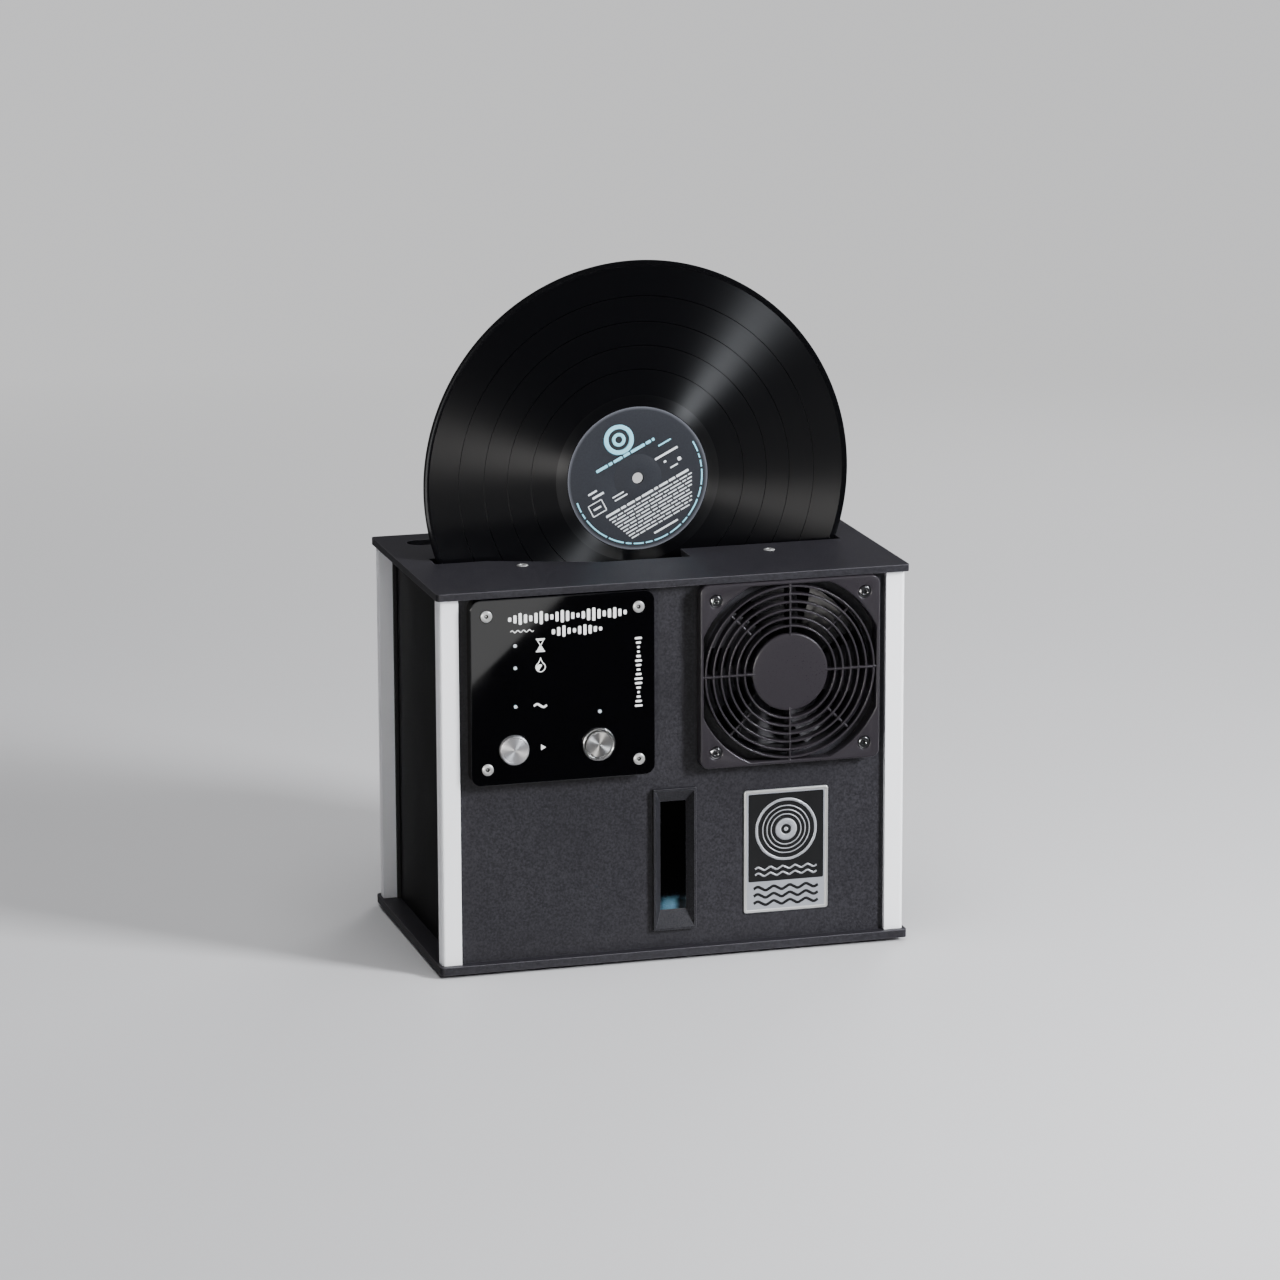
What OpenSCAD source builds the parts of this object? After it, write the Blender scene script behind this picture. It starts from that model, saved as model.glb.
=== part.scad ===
// Record cleaning machine: a metal case with a basin under a slot in its lid,
// where a record stands on two rollers between four cleaning barrels.
// Millimetres, +Z up, front towards -Y, origin on the surface under the middle.

/* [Case] */
// Width of the lid and the base plate
case_w = 330; // [328:1:336]
// Depth of the lid and the base plate
case_d = 192; // [190:1:196]
// Height of the lid's top above the surface
case_h = 265.3; // [264:0.1:268]
// Thickness of the lid
lid_t = 4.8; // [4:0.1:6]
// Thickness of the base plate
base_t = 5.5; // [4:0.1:6]
// Radius of the upright corners of the lid and the base plate
plate_corner = 3; // [1:0.5:6]
// Thickness of the four wall panels
panel_t = 3; // [2:0.1:3]

/* [Corner posts] */
// Width of a post along the front
post_w = 13.5; // [12:0.1:14]
// Depth of a post along the side
post_d = 10; // [9:0.1:11]
// Gap from the plate's side edge to the post
post_in_x = 2; // [1:0.1:3]
// Gap from the plate's front edge to the post
post_in_y = 4; // [3:0.1:5]
// Radius of a post's outer corner
post_corner = 2.5; // [1:0.1:4]

/* [Record] */
// Radius of the record
rec_r = 150.8; // [150:0.1:151.5]
// Thickness of the record at its rim and label
rec_t = 2; // [1.6:0.1:2.2]
// Middle of the record across the case
rec_x = 2; // [0:0.5:3]
// Plane of the record, measured back from the middle
rec_y = 5.7; // [5:0.1:6.5]
// Height of the record's middle above the surface
rec_z = 314.8; // [314:0.1:316]
// Radius of the paper label
label_r = 50; // [45:0.5:51]

/* [Front plates] */
// Width and height of the control plate and the fan guard
plate_size = 127; // [125:0.5:127.2]
// Thickness of the control plate and the fan guard
plate_t = 10; // [8:0.5:10]
// Distance of both plates' middles from the middle of the front
plate_x = 79.5; // [79:0.5:80]
// Height of both plates' middles
plate_z = 196.5; // [196:0.1:196.6]
// Pitch of the plates' screws, as on a 120 mm fan
screw_pitch = 105; // [105:1:105]

/* [Fan guard] */
// Number of rings
ring_count = 6; // [4:1:6]
// Radius of the smallest ring
ring_first = 32; // [31:0.5:33]
// Step from one ring to the next
ring_step = 5.5; // [5:0.1:5.5]
// Thickness of a ring and a spoke
ring_t = 1.4; // [1:0.1:2]
// Radius of the closed middle
guard_hub_r = 26.8; // [24:0.1:28]

/* [Cleaning barrels] */
// Radius of a barrel with its sleeve
barrel_r = 13; // [12:0.1:13.5]
// Distance between the two barrels on one side of the record
barrel_pitch = 31.5; // [30:0.1:33]
// Gap between a barrel and the record
barrel_gap = 0.3; // [0.3:0.1:1]

/* [Buttons] */
// Radius of the start button
start_r = 10; // [9:0.1:10]
// Radius of the mode button
mode_r = 9.1; // [8:0.1:9.1]
// How far a button is pressed in
press_travel = 1.8; // [1:0.1:2]

/* [Hidden] */

$fn = 64;
eps = 0.01;
play = 0.06;
gap = 0.1;

foot_h = 2.5;
base_top = foot_h + base_t;
lid_under = case_h - lid_t;
inner_h = lid_under - base_top;
post_x = case_w/2 - post_in_x;
post_y = case_d/2 - post_in_y;
front_y = -(post_y - 3.5);
rear_y = -front_y;
side_x = post_x - 11.8;
panel_z = (base_top + lid_under)/2;

// Shapes used more than once

module rounded_rect(w, h, r) {
    square([w - 2*r, h], center = true);
    square([w, h - 2*r], center = true);
    for (x = [-1, 1], y = [-1, 1])
        translate([x*(w/2 - r), y*(h/2 - r)])
            circle(r);
}

// Stands a flat drawing up on the front wall: its Z points out of the wall.
module on_front(x, z) {
    translate([x, front_y, z])
        rotate([90, 0, 0])
            children();
}

// The same on the rear wall, with X still to the right as seen from the front.
module on_rear(x, z) {
    mirror([0, 1, 0])
        on_front(x, z)
            children();
}

module box(x0, x1, y0, y1, z0, z1) {
    translate([x0, y0, z0])
        cube([x1 - x0, y1 - y0, z1 - z0]);
}

module tube(r_out, r_in, h) {
    difference() {
        cylinder(r = r_out, h = h);
        translate([0, 0, -1])
            cylinder(r = r_in, h = h + 2);
    }
}

csk_h = 2.2;
csk_r = 4;
shank_r = 2;

// Countersunk screw, head up, its face at Z 0.
module screw(length) {
    difference() {
        union() {
            translate([0, 0, -csk_h])
                cylinder(r1 = shank_r, r2 = csk_r, h = csk_h);
            translate([0, 0, -length])
                cylinder(r = shank_r, h = length - csk_h + eps);
        }
        translate([0, 0, -1.6])
            cylinder(r = 1.45, h = 2, $fn = 6);
    }
}

// The hole that a countersunk screw goes through.
module screw_hole(depth) {
    translate([0, 0, -csk_h])
        cylinder(r1 = shank_r + gap, r2 = csk_r + gap, h = csk_h);
    translate([0, 0, -gap])
        cylinder(r = csk_r + gap, h = 1);
    translate([0, 0, -depth])
        cylinder(r = shank_r + gap, h = depth);
}

module at_fan_corners() {
    for (x = [-1, 1], z = [-1, 1])
        translate([x*screw_pitch/2, z*screw_pitch/2, 0])
            children();
}

// Case

case_metal = "dimgray";
foot_x = 140;
foot_y = 75;

module at_feet() {
    for (x = [-1, 1], y = [-1, 1])
        translate([x*foot_x, y*foot_y, 0])
            children();
}

module base_plate() {
    color(case_metal)
    difference() {
        translate([0, 0, foot_h])
            linear_extrude(base_t)
                rounded_rect(case_w, case_d, plate_corner);
        at_post_middles()
            translate([0, 0, foot_h])
                mirror([0, 0, 1])
                    screw_hole(base_t + 1);
        at_feet()
            cylinder(r = 1.6, h = base_top + 1);
    }
}

module at_post_middles() {
    for (x = [-1, 1], y = [-1, 1])
        translate([x*(post_x - post_w/2), y*(post_y - post_d/2), 0])
            children();
}

module feet() {
    color([0.08, 0.08, 0.08])
    at_feet()
        difference() {
            cylinder(r1 = 11.4, r2 = 12, h = foot_h);
            translate([0, 0, -eps])
                cylinder(r = 4, h = 1);
        }
}

module post(x_side, y_side) {
    color([0.85, 0.85, 0.87])
    difference() {
        translate([x_side*(post_x - post_w/2), y_side*(post_y - post_d/2), base_top])
            linear_extrude(inner_h)
                scale([x_side, y_side])
                    post_section();
        at_post_middles()
            translate([0, 0, base_top - 1])
                cylinder(r = shank_r + gap, h = 13);
    }
}

// Section of a post with its rounded corner at the upper right.
module post_section() {
    translate([-post_w/2, -post_d/2])
        square([post_w - post_corner, post_d]);
    translate([-post_w/2, -post_d/2])
        square([post_w, post_d - post_corner]);
    translate([post_w/2 - post_corner, post_d/2 - post_corner])
        circle(post_corner);
}

window_hole_w = 24;
window_hole_h = 88;
window_z = 70;
fan_bore = 58;
wall_w = 2*(post_x - post_w);

module front_panel() {
    color(case_metal)
    difference() {
        box(-wall_w/2, wall_w/2, front_y, front_y + panel_t, base_top, lid_under);
        on_front(plate_x, plate_z) {
            translate([0, 0, -panel_t - 1])
                cylinder(r = fan_bore, h = panel_t + 2);
            at_fan_corners()
                translate([0, 0, -panel_t - 1])
                    cylinder(r = shank_r + gap, h = panel_t + 2);
        }
        on_front(-plate_x, plate_z) {
            at_fan_corners()
                translate([0, 0, -panel_t - 1])
                    cylinder(r = shank_r + gap, h = panel_t + 2);
            at_buttons(-panel_t - 1)
                cylinder(r = 5, h = panel_t + 2);
            at_leds(-panel_t - 1)
                cylinder(r = 1.6, h = panel_t + 2);
        }
        on_front(0, window_z)
            translate([-window_hole_w/2, -window_hole_h/2, -panel_t - 1])
                cube([window_hole_w, window_hole_h, panel_t + 2]);
    }
}

inlet_x = 112;
switch_x = 66;
rear_low_z = 34;
drain_x = -112;
drain_z = 22;
inlet_w = 28;
inlet_h = 24;
switch_w = 14;
switch_h = 20;
drain_r = 6;

module rear_panel() {
    color(case_metal)
    difference() {
        box(-wall_w/2, wall_w/2, rear_y - panel_t, rear_y, base_top, lid_under);
        on_rear(plate_x, plate_z) {
            translate([0, 0, -panel_t - 1])
                cylinder(r = fan_bore, h = panel_t + 2);
            at_fan_corners()
                translate([0, 0, -panel_t - 1])
                    cylinder(r = shank_r + gap, h = panel_t + 2);
        }
        on_rear(inlet_x, rear_low_z)
            translate([-inlet_w/2 - gap, -inlet_h/2 - gap, -panel_t - 1])
                cube([inlet_w + 2*gap, inlet_h + 2*gap, panel_t + 2]);
        on_rear(switch_x, rear_low_z)
            translate([-switch_w/2 - gap, -switch_h/2 - gap, -panel_t - 1])
                cube([switch_w + 2*gap, switch_h + 2*gap, panel_t + 2]);
        on_rear(drain_x, drain_z)
            translate([0, 0, -panel_t - 1])
                cylinder(r = drain_r + 0.3, h = panel_t + 2);
    }
}

side_len = post_y - post_d;

module side_panel(side) {
    color([0.16, 0.16, 0.17])
    translate([side*(side_x - panel_t/2), 0, panel_z])
        cube([panel_t, 2*side_len, inner_h], center = true);
}

seal_w = 2.2;

module panel_seals() {
    color([0.03, 0.03, 0.03])
    for (x = [-1, 1], y = [-1, 1])
        translate([x*(side_x + seal_w/2), y*(side_len - 1.5), panel_z])
            cube([seal_w, 3, inner_h], center = true);
}

// Lid, with the record slot, its wider middle and the filling slot

slot_half = 9.2;
wide_half = 34.5;
slot_left = -143.5;
slot_right = 145.5;
ramp_start = -107;
ramp_end = -33.5;
wide_end = 30;
fill_x = -116;
fill_len = 60;
fill_w = 18;
fill_y = 68;
lid_screw_x = 87.5;
lid_screw_y = 29.2;

module slot_outline() {
    translate([slot_left, rec_y - slot_half])
        square([slot_right - slot_left, 2*slot_half]);
    translate([0, rec_y])
        polygon([[ramp_start, slot_half], [ramp_end, wide_half],
            [wide_end, wide_half], [wide_end, -wide_half],
            [ramp_end, -wide_half], [ramp_start, -slot_half]]);
}

module fill_outline(grow) {
    for (x = [-1, 1])
        translate([fill_x + x*(fill_len - fill_w)/2, fill_y])
            circle(fill_w/2 + grow);
    translate([fill_x - (fill_len - fill_w)/2, fill_y - fill_w/2 - grow])
        square([fill_len - fill_w, fill_w + 2*grow]);
}

module at_lid_screws() {
    for (x = [-1, 1], y = [-1, 1])
        translate([x*lid_screw_x, rec_y + y*lid_screw_y, 0])
            children();
}

module lid() {
    color(case_metal)
    difference() {
        translate([0, 0, lid_under])
            linear_extrude(lid_t)
                rounded_rect(case_w, case_d, plate_corner);
        translate([0, 0, lid_under - 1])
            linear_extrude(lid_t + 2)
                slot_outline();
        translate([0, 0, lid_under - 1])
            linear_extrude(lid_t + 2)
                fill_outline(0);
        at_lid_screws()
            translate([0, 0, case_h])
                screw_hole(lid_t + 1);
    }
}

// The lid's four screws, and the four under the posts.
module case_screws() {
    color("silver") {
        at_lid_screws()
            translate([0, 0, case_h])
                screw(12);
        at_post_middles()
            translate([0, 0, foot_h])
                mirror([0, 0, 1])
                    screw(12);
    }
}

// Control plate

module at_buttons(z) {
    translate([-34.1, -40, z])
        children();
    translate([24.3, -40, z])
        children();
}

led_spots = [[-33, 31.3], [-33, 16.1], [-33, -10.3], [25.2, -17.5]];

module at_leds(z) {
    for (p = led_spots)
        translate([p[0], p[1], z])
            children();
}

led_r = 1.2;
bezel_r = 11.4;

module control_plate() {
    color([0.03, 0.03, 0.035])
    on_front(-plate_x, plate_z)
        difference() {
            linear_extrude(plate_t)
                rounded_rect(plate_size, plate_size, 7);
            at_fan_corners()
                translate([0, 0, plate_t])
                    screw_hole(plate_t + 1);
            translate([-34.1, -40, -1])
                cylinder(r = start_r + 0.4, h = plate_t + 2);
            translate([24.3, -40, -1])
                cylinder(r = bezel_r, h = plate_t + 2);
            at_leds(-1)
                cylinder(r = led_r + gap, h = plate_t + 2);
        }
}

module control_screws() {
    color("silver")
    on_front(-plate_x, plate_z)
        at_fan_corners()
            translate([0, 0, plate_t])
                screw(16);
}

// A round button with a dished face, on a stem that goes through the wall.
module button(r, top) {
    rotate_extrude()
        polygon([[0, -panel_t - 1], [4, -panel_t - 1], [4, 4], [r, 4],
            [r, top - 0.8], [r - 0.8, top], [r - 1.6, top],
            [r - 2.2, top - 0.3], [0, top - 0.5]]);
}

module start_button() {
    color([0.75, 0.74, 0.72])
    on_front(-plate_x - 34.1, plate_z - 40)
        button(start_r, plate_t + press_travel + 0.4);
}

module mode_button() {
    color([0.75, 0.74, 0.72])
    on_front(-plate_x + 24.3, plate_z - 40)
        button(mode_r, plate_t + press_travel + 0.2);
}

module mode_bezel() {
    color("silver")
    on_front(-plate_x + 24.3, plate_z - 40)
        rotate_extrude()
            polygon([[mode_r + 0.4, 0], [bezel_r, 0], [bezel_r, plate_t + 1],
                [bezel_r - 0.7, plate_t + 1.6], [mode_r + 0.4, plate_t + 1.6]]);
}

board_z = -12;
board_t = 1.6;

module led_lenses() {
    color("white")
    on_front(-plate_x, plate_z)
        at_leds(board_z + board_t)
            cylinder(r = led_r, h = plate_t - board_z - board_t + 0.2);
}

board_size = 96;

module control_board() {
    color([0.05, 0.25, 0.12])
    on_front(-plate_x, plate_z) {
        translate([-board_size/2, -board_size/2, board_z])
            cube([board_size, board_size, board_t]);
        for (x = [-1, 1], z = [-1, 1])
            translate([x*42, z*44, board_z + board_t - eps])
                cylinder(r = 3, h = -panel_t - board_z - board_t + eps);
        at_buttons(board_z + board_t)
            translate([-6, -6, -eps])
                cube([12, 12, 3.6]);
        translate([-30, 0, board_z - 8])
            cube([60, 12, 8 + eps]);
        for (x = [-24, -8, 8, 24])
            translate([x, -28, board_z - 12])
                cylinder(r = 5, h = 12 + eps);
    }
}

// Fan guard, with deep rings held by thin spokes

guard_open_r = 67;
guard_flat = 61;
ring_back = 2;
ring_front = plate_t - 0.4;
spoke_back = 3.5;

module guard_opening() {
    intersection() {
        circle(guard_open_r);
        square(2*guard_flat, center = true);
    }
}

module guard_ring(r) {
    translate([0, 0, ring_back])
        tube(r + ring_t/2, r - ring_t/2, ring_front - ring_back);
}

module fan_guard() {
    color([0.22, 0.22, 0.23])
    on_front(plate_x, plate_z) {
        difference() {
            linear_extrude(plate_t)
                rounded_rect(plate_size, plate_size, 6);
            translate([0, 0, -1])
                linear_extrude(plate_t + 2)
                    guard_opening();
            at_fan_corners()
                translate([0, 0, plate_t])
                    screw_hole(plate_t + 1);
        }
        for (i = [0 : ring_count - 1])
            guard_ring(ring_first + i*ring_step);
        for (a = [0, 90, 180, 270])
            rotate([0, 0, a])
                translate([guard_hub_r - 2, -ring_t/2, spoke_back])
                    cube([guard_flat - guard_hub_r + 2.5, ring_t, ring_front - spoke_back]);
        for (a = [45, 135, 225, 315])
            rotate([0, 0, a])
                translate([ring_first + ring_step, -ring_t/2, 1.2])
                    cube([(ring_count - 2)*ring_step, ring_t, 3.4]);
        rotate_extrude()
            polygon([[0, 4.5], [guard_hub_r, 4.5], [guard_hub_r, plate_t - 1],
                [guard_hub_r - 1, plate_t - 0.2], [guard_hub_r - 3, plate_t - 0.2],
                [guard_hub_r - 5, plate_t - 0.7], [0, plate_t - 1.1]]);
    }
}

module guard_screws() {
    color("silver")
    on_front(plate_x, plate_z)
        at_fan_corners()
            translate([0, 0, plate_t])
                screw(36);
}

// Axial fan: its outer face at Z 0, its body going back to -fan_t

fan_t = 25;
fan_size = 119.6;
fan_wall_r = 59.4;
motor_r = 21;
pin_r = 2.5;
rotor_back = -20.4;

module fan_frame() {
    difference() {
        union() {
            for (z = [-4, -fan_t])
                translate([0, 0, z])
                    linear_extrude(4)
                        rounded_rect(fan_size, fan_size, 5);
            translate([0, 0, -fan_t])
                cylinder(r = fan_wall_r, h = fan_t);
        }
        translate([0, 0, -fan_t - 1])
            cylinder(r = fan_bore, h = fan_t + 2);
        at_fan_corners()
            translate([0, 0, -fan_t - 1])
                cylinder(r = shank_r + gap, h = fan_t + 2);
    }
    for (a = [20, 110, 200, 290])
        rotate([0, 0, a])
            translate([motor_r - 2, -2, -fan_t])
                cube([fan_bore - motor_r + 2.5, 4, 4]);
    translate([0, 0, -fan_t])
        cylinder(r = motor_r, h = 4);
    translate([0, 0, -fan_t])
        cylinder(r = pin_r, h = 18);
}

blade_count = 7;
blade_in = 19;
blade_out = 56.8;
blade_t = 1.8;
blade_h = 14;
blade_twist = 34;

// One blade's section: a strip that sweeps forward towards its tip.
module blade_section() {
    steps = 4;
    sweep = 14;
    lead = [for (i = [0 : steps])
        let (r = blade_in + (blade_out - blade_in)*i/steps, a = sweep*i/steps)
        [r*cos(a), r*sin(a)]];
    trail = [for (i = [steps : -1 : 0])
        let (r = blade_in + (blade_out - blade_in)*i/steps, a = sweep*i/steps)
        [r*cos(a) + blade_t*sin(a), r*sin(a) - blade_t*cos(a)]];
    polygon(concat(lead, trail));
}

module fan_rotor() {
    difference() {
        union() {
            translate([0, 0, rotor_back])
                cylinder(r = motor_r - 0.8, h = 17);
            translate([0, 0, rotor_back + 17 - eps])
                cylinder(r1 = motor_r - 0.8, r2 = motor_r - 3, h = 1.6);
            for (i = [0 : blade_count - 1])
                rotate([0, 0, i*360/blade_count])
                    translate([0, 0, rotor_back + 1])
                        linear_extrude(height = blade_h, twist = blade_twist, slices = 4, segments = 1)
                            blade_section();
        }
        translate([0, 0, rotor_back - 1])
            cylinder(r = pin_r + play, h = 15);
    }
}

module fan_front_frame() {
    color([0.05, 0.05, 0.055])
    on_front(plate_x, plate_z)
        translate([0, 0, -panel_t])
            fan_frame();
}

module fan_front_rotor() {
    color([0.07, 0.07, 0.075])
    on_front(plate_x, plate_z)
        translate([0, 0, -panel_t])
            fan_rotor();
}

module fan_rear_frame() {
    color([0.05, 0.05, 0.055])
    on_rear(plate_x, plate_z)
        translate([0, 0, -panel_t])
            fan_frame();
}

module fan_rear_rotor() {
    color([0.07, 0.07, 0.075])
    on_rear(plate_x, plate_z)
        translate([0, 0, -panel_t])
            fan_rotor();
}

// Wire guard on the rear fan

wire_r = 0.9;
wire_z = 3;

module rear_guard() {
    color("silver")
    on_rear(plate_x, plate_z) {
        for (r = [12 : 11.5 : 58])
            translate([0, 0, wire_z])
                rotate_extrude()
                    translate([r, 0])
                        circle(wire_r, $fn = 16);
        for (a = [45, 135, 225, 315])
            rotate([0, 0, a]) {
                translate([11, 0, wire_z - wire_r])
                    rotate([0, 90, 0])
                        cylinder(r = wire_r, h = 62 - 11, $fn = 16);
                translate([61, -3, 0])
                    cube([8, 6, wire_z]);
                translate([screw_pitch*sqrt(2)/2, 0, 0])
                    tube(5.6, shank_r + gap, 1.4);
            }
    }
}

module rear_guard_screws() {
    color("silver")
    on_rear(plate_x, plate_z)
        at_fan_corners() {
            translate([0, 0, 1.4])
                cylinder(r = 3.8, h = 2.2);
            translate([0, 0, -26])
                cylinder(r = shank_r, h = 27.5);
        }
}

// Ducts that lead each fan's air to the record

duct_z0 = 223;
duct_z1 = 251;
duct_x = 86.5;
duct_half = 37;
duct_wall = 1.5;
duct_mouth = 56;
basin_half = 19.7;
basin_wall = 2.5;

module duct_shape(y_fan, y_basin, grow) {
    hull() {
        translate([plate_x, y_fan, plate_z])
            cube([2*(duct_mouth + grow), eps, 2*(duct_mouth + grow)], center = true);
        translate([duct_x, y_basin, (duct_z0 + duct_z1)/2])
            cube([2*(duct_half + grow), eps, duct_z1 - duct_z0 + 2*grow], center = true);
    }
}

module duct(y_fan, y_basin) {
    out = y_fan < y_basin ? -1 : 1;
    color([0.1, 0.1, 0.1])
    difference() {
        duct_shape(y_fan, y_basin, duct_wall);
        duct_shape(y_fan + 0.5*out, y_basin - 0.5*out, 0);
    }
}

fan_inner = post_y - 3.5 - panel_t - fan_t;

module duct_front() {
    duct(-fan_inner + eps, rec_y - basin_half - basin_wall - eps);
}

module duct_rear() {
    duct(fan_inner - eps, rec_y + basin_half + basin_wall + eps);
}

// Window on the water level

window_w = 30;
window_h = 99;
window_in_w = 18;
window_in_h = 76;
window_in_z = 1.7;
window_proud = 3.5;
window_back = -1.7;

module window_frame() {
    color([0.04, 0.04, 0.045])
    on_front(0, window_z)
        difference() {
            union() {
                translate([0, 0, window_proud/2])
                    cube([window_w, window_h, window_proud], center = true);
                translate([0, 0, window_back/2])
                    cube([window_hole_w - 0.2, window_hole_h - 0.2, -window_back], center = true);
            }
            hull() {
                translate([0, 0, window_proud + eps])
                    cube([window_w - 3, window_h - 3, 2*eps], center = true);
                translate([0, window_in_z, window_back])
                    cube([window_in_w, window_in_h, 2*eps], center = true);
            }
        }
}

module window_pane() {
    color([0.12, 0.13, 0.14])
    on_front(0, window_z)
        translate([0, 0, (window_back - panel_t)/2])
            cube([window_hole_w - 0.2, window_hole_h - 0.2, panel_t + window_back], center = true);
}

float_r = 8.5;
float_z = 27;
neck_y = -72;

module level_float() {
    color([0.6, 0.82, 0.9])
    translate([0, neck_y, float_z])
        rotate_extrude()
            polygon([[0, 0], [float_r - 1.5, 0], [float_r, 1.5], [float_r, 12.5],
                [float_r - 1.5, 14], [0, 14]]);
}

badge_w = 60;
badge_h = 86.6;

module badge() {
    color([0.7, 0.7, 0.72])
    on_front(plate_x, window_z)
        linear_extrude(0.8)
            rounded_rect(badge_w, badge_h, 2);
}

// Basin

floor_z = 149;
floor_t = 3;
wide_basin_half = 36;
barrel_mid = -1.75;
roller_angle = 40;
groove_r = 8;
roller_gap = 0.3;
roller_reach = rec_r + groove_r + roller_gap;
roller_x = roller_reach*sin(roller_angle);
roller_z = rec_z - roller_reach*cos(roller_angle);
axle_r = 3;
feed_x = 134;
return_x = -75;
nozzle_r = 4.5;

module basin_plan(grow) {
    translate([slot_left - grow, rec_y - basin_half - grow])
        square([slot_right - slot_left + 2*grow, 2*(basin_half + grow)]);
    translate([0, rec_y])
        polygon([
            [-84 - grow, basin_half - 1], [-36 - grow/3, wide_basin_half + grow],
            [32 + grow, wide_basin_half + grow], [32 + grow, -wide_basin_half - grow],
            [-36 - grow/3, -wide_basin_half - grow], [-84 - grow, 1 - basin_half]]);
}

module at_barrels() {
    for (x = [-1, 1], y = [-1, 1])
        translate([barrel_mid + x*barrel_pitch/2, rec_y + y*(rec_t/2 + barrel_gap + barrel_r), 0])
            children();
}

module basin() {
    color([0.13, 0.13, 0.14])
    difference() {
        union() {
            translate([0, 0, floor_z])
                linear_extrude(lid_under - floor_z)
                    basin_plan(basin_wall);
            at_lid_screws()
                translate([0, 0, lid_under - 7])
                    cylinder(r = 5, h = 7);
            for (x = [-1, 1])
                translate([x*lid_screw_x - 4, rec_y - lid_screw_y, lid_under - 7])
                    cube([8, 2*lid_screw_y, 7]);
            for (x = [feed_x, return_x])
                translate([x, rec_y, floor_z - 12])
                    cylinder(r = nozzle_r, h = 13);
        }
        translate([0, 0, floor_z + floor_t])
            linear_extrude(lid_under - floor_z)
                basin_plan(0);
        box(duct_x - duct_half, duct_x + duct_half, rec_y - 30, rec_y + 30, duct_z0, duct_z1);
        at_lid_screws()
            translate([0, 0, lid_under - 7.5])
                cylinder(r = shank_r + gap, h = 9);
        at_barrels()
            translate([0, 0, floor_z - 1])
                cylinder(r = 4.6, h = floor_t + 2);
        for (x = [feed_x, return_x])
            translate([x, rec_y, floor_z - 13])
                cylinder(r = 3, h = 20);
        translate([rec_x - roller_x, rec_y, roller_z])
            rotate([-90, 0, 0])
                cylinder(r = axle_r + play, h = basin_half + basin_wall + 1);
    }
    translate([rec_x + roller_x, rec_y + basin_half + 1, roller_z])
        rotate([90, 0, 0])
            cylinder(r = axle_r, h = 2*basin_half + 2);
}

// Wipers beside the barrels

wiper_x = -62;
wiper_w = 8;
lip_t = 1.6;
wiper_in = 9;
wiper_out = 23;
lip_in = 1.5;

module wiper_holders() {
    color([0.2, 0.2, 0.21])
    for (y = [-1, 1])
        translate([wiper_x, rec_y, 0])
            scale([1, y, 1])
                difference() {
                    union() {
                        box(-wiper_w/2, wiper_w/2, wiper_in, wiper_out,
                            floor_z + floor_t, 254);
                        box(-8, 8, wiper_in, wiper_out, floor_z + floor_t, 156);
                    }
                    box(-lip_t/2, lip_t/2, wiper_in - 1, wiper_in + 6, 166, 255);
                }
}

module wiper_lips() {
    color([0.02, 0.02, 0.02])
    for (y = [-1, 1])
        translate([wiper_x, rec_y, 0])
            scale([1, y, 1])
                box(-lip_t/2, lip_t/2, lip_in, wiper_in + 6, 166, 254);
}

// Barrels, their gearbox and motor

box_z = 131;
bore_floor = 135;
shaft_r = 4;
core_r = 7;
sleeve_z0 = 166;
sleeve_z1 = 255;

module gearbox() {
    color([0.3, 0.3, 0.32])
    difference() {
        translate([barrel_mid, rec_y, box_z])
            linear_extrude(floor_z - box_z)
                rounded_rect(84, 62, 6);
        at_barrels()
            translate([0, 0, bore_floor])
                cylinder(r = shaft_r + play, h = floor_z - bore_floor + 1);
    }
}

module barrel_motor() {
    color("silver")
    translate([barrel_mid, rec_y, 0]) {
        translate([0, 0, 94])
            cylinder(r = 18.5, h = box_z - 94);
        translate([0, 0, 90])
            cylinder(r = 8, h = 5);
    }
}

module spindle(x_side, y_side) {
    color([0.85, 0.85, 0.84])
    translate([barrel_mid + x_side*barrel_pitch/2,
            rec_y + y_side*(rec_t/2 + barrel_gap + barrel_r), 0])
        rotate_extrude()
            polygon([[0, bore_floor + 0.5], [shaft_r, bore_floor + 0.5], [shaft_r, 163],
                [10.5, 163], [10.5, sleeve_z0], [core_r, sleeve_z0],
                [core_r, sleeve_z1], [11, sleeve_z1], [11, 257], [9.5, 258], [0, 258]]);
}

module sleeve(x_side, y_side) {
    color([0.9, 0.9, 0.86])
    translate([barrel_mid + x_side*barrel_pitch/2,
            rec_y + y_side*(rec_t/2 + barrel_gap + barrel_r), sleeve_z0])
        tube(barrel_r, core_r, sleeve_z1 - sleeve_z0);
}

// Rollers under the record's rim

flange_r = 12.5;
roller_half = 6;
groove_half = 1.6;
groove_mouth = 2.6;

module roller_profile(bore) {
    polygon([[bore, -roller_half], [flange_r - 1, -roller_half], [flange_r, -5],
        [flange_r, -groove_mouth], [groove_r, -groove_half], [groove_r, groove_half],
        [flange_r, groove_mouth], [flange_r, 5], [flange_r - 1, roller_half],
        [bore, roller_half]]);
}

motor_end = 38;

module drive_roller() {
    color([0.1, 0.1, 0.1])
    translate([rec_x - roller_x, rec_y, roller_z])
        rotate([-90, 0, 0]) {
            rotate_extrude()
                roller_profile(0);
            translate([0, 0, -12])
                cylinder(r = axle_r, h = motor_end + 12 - rec_y);
        }
}

module support_roller() {
    color([0.1, 0.1, 0.1])
    translate([rec_x + roller_x, rec_y, roller_z])
        rotate([-90, 0, 0])
            rotate_extrude()
                roller_profile(axle_r + play);
}

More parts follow.
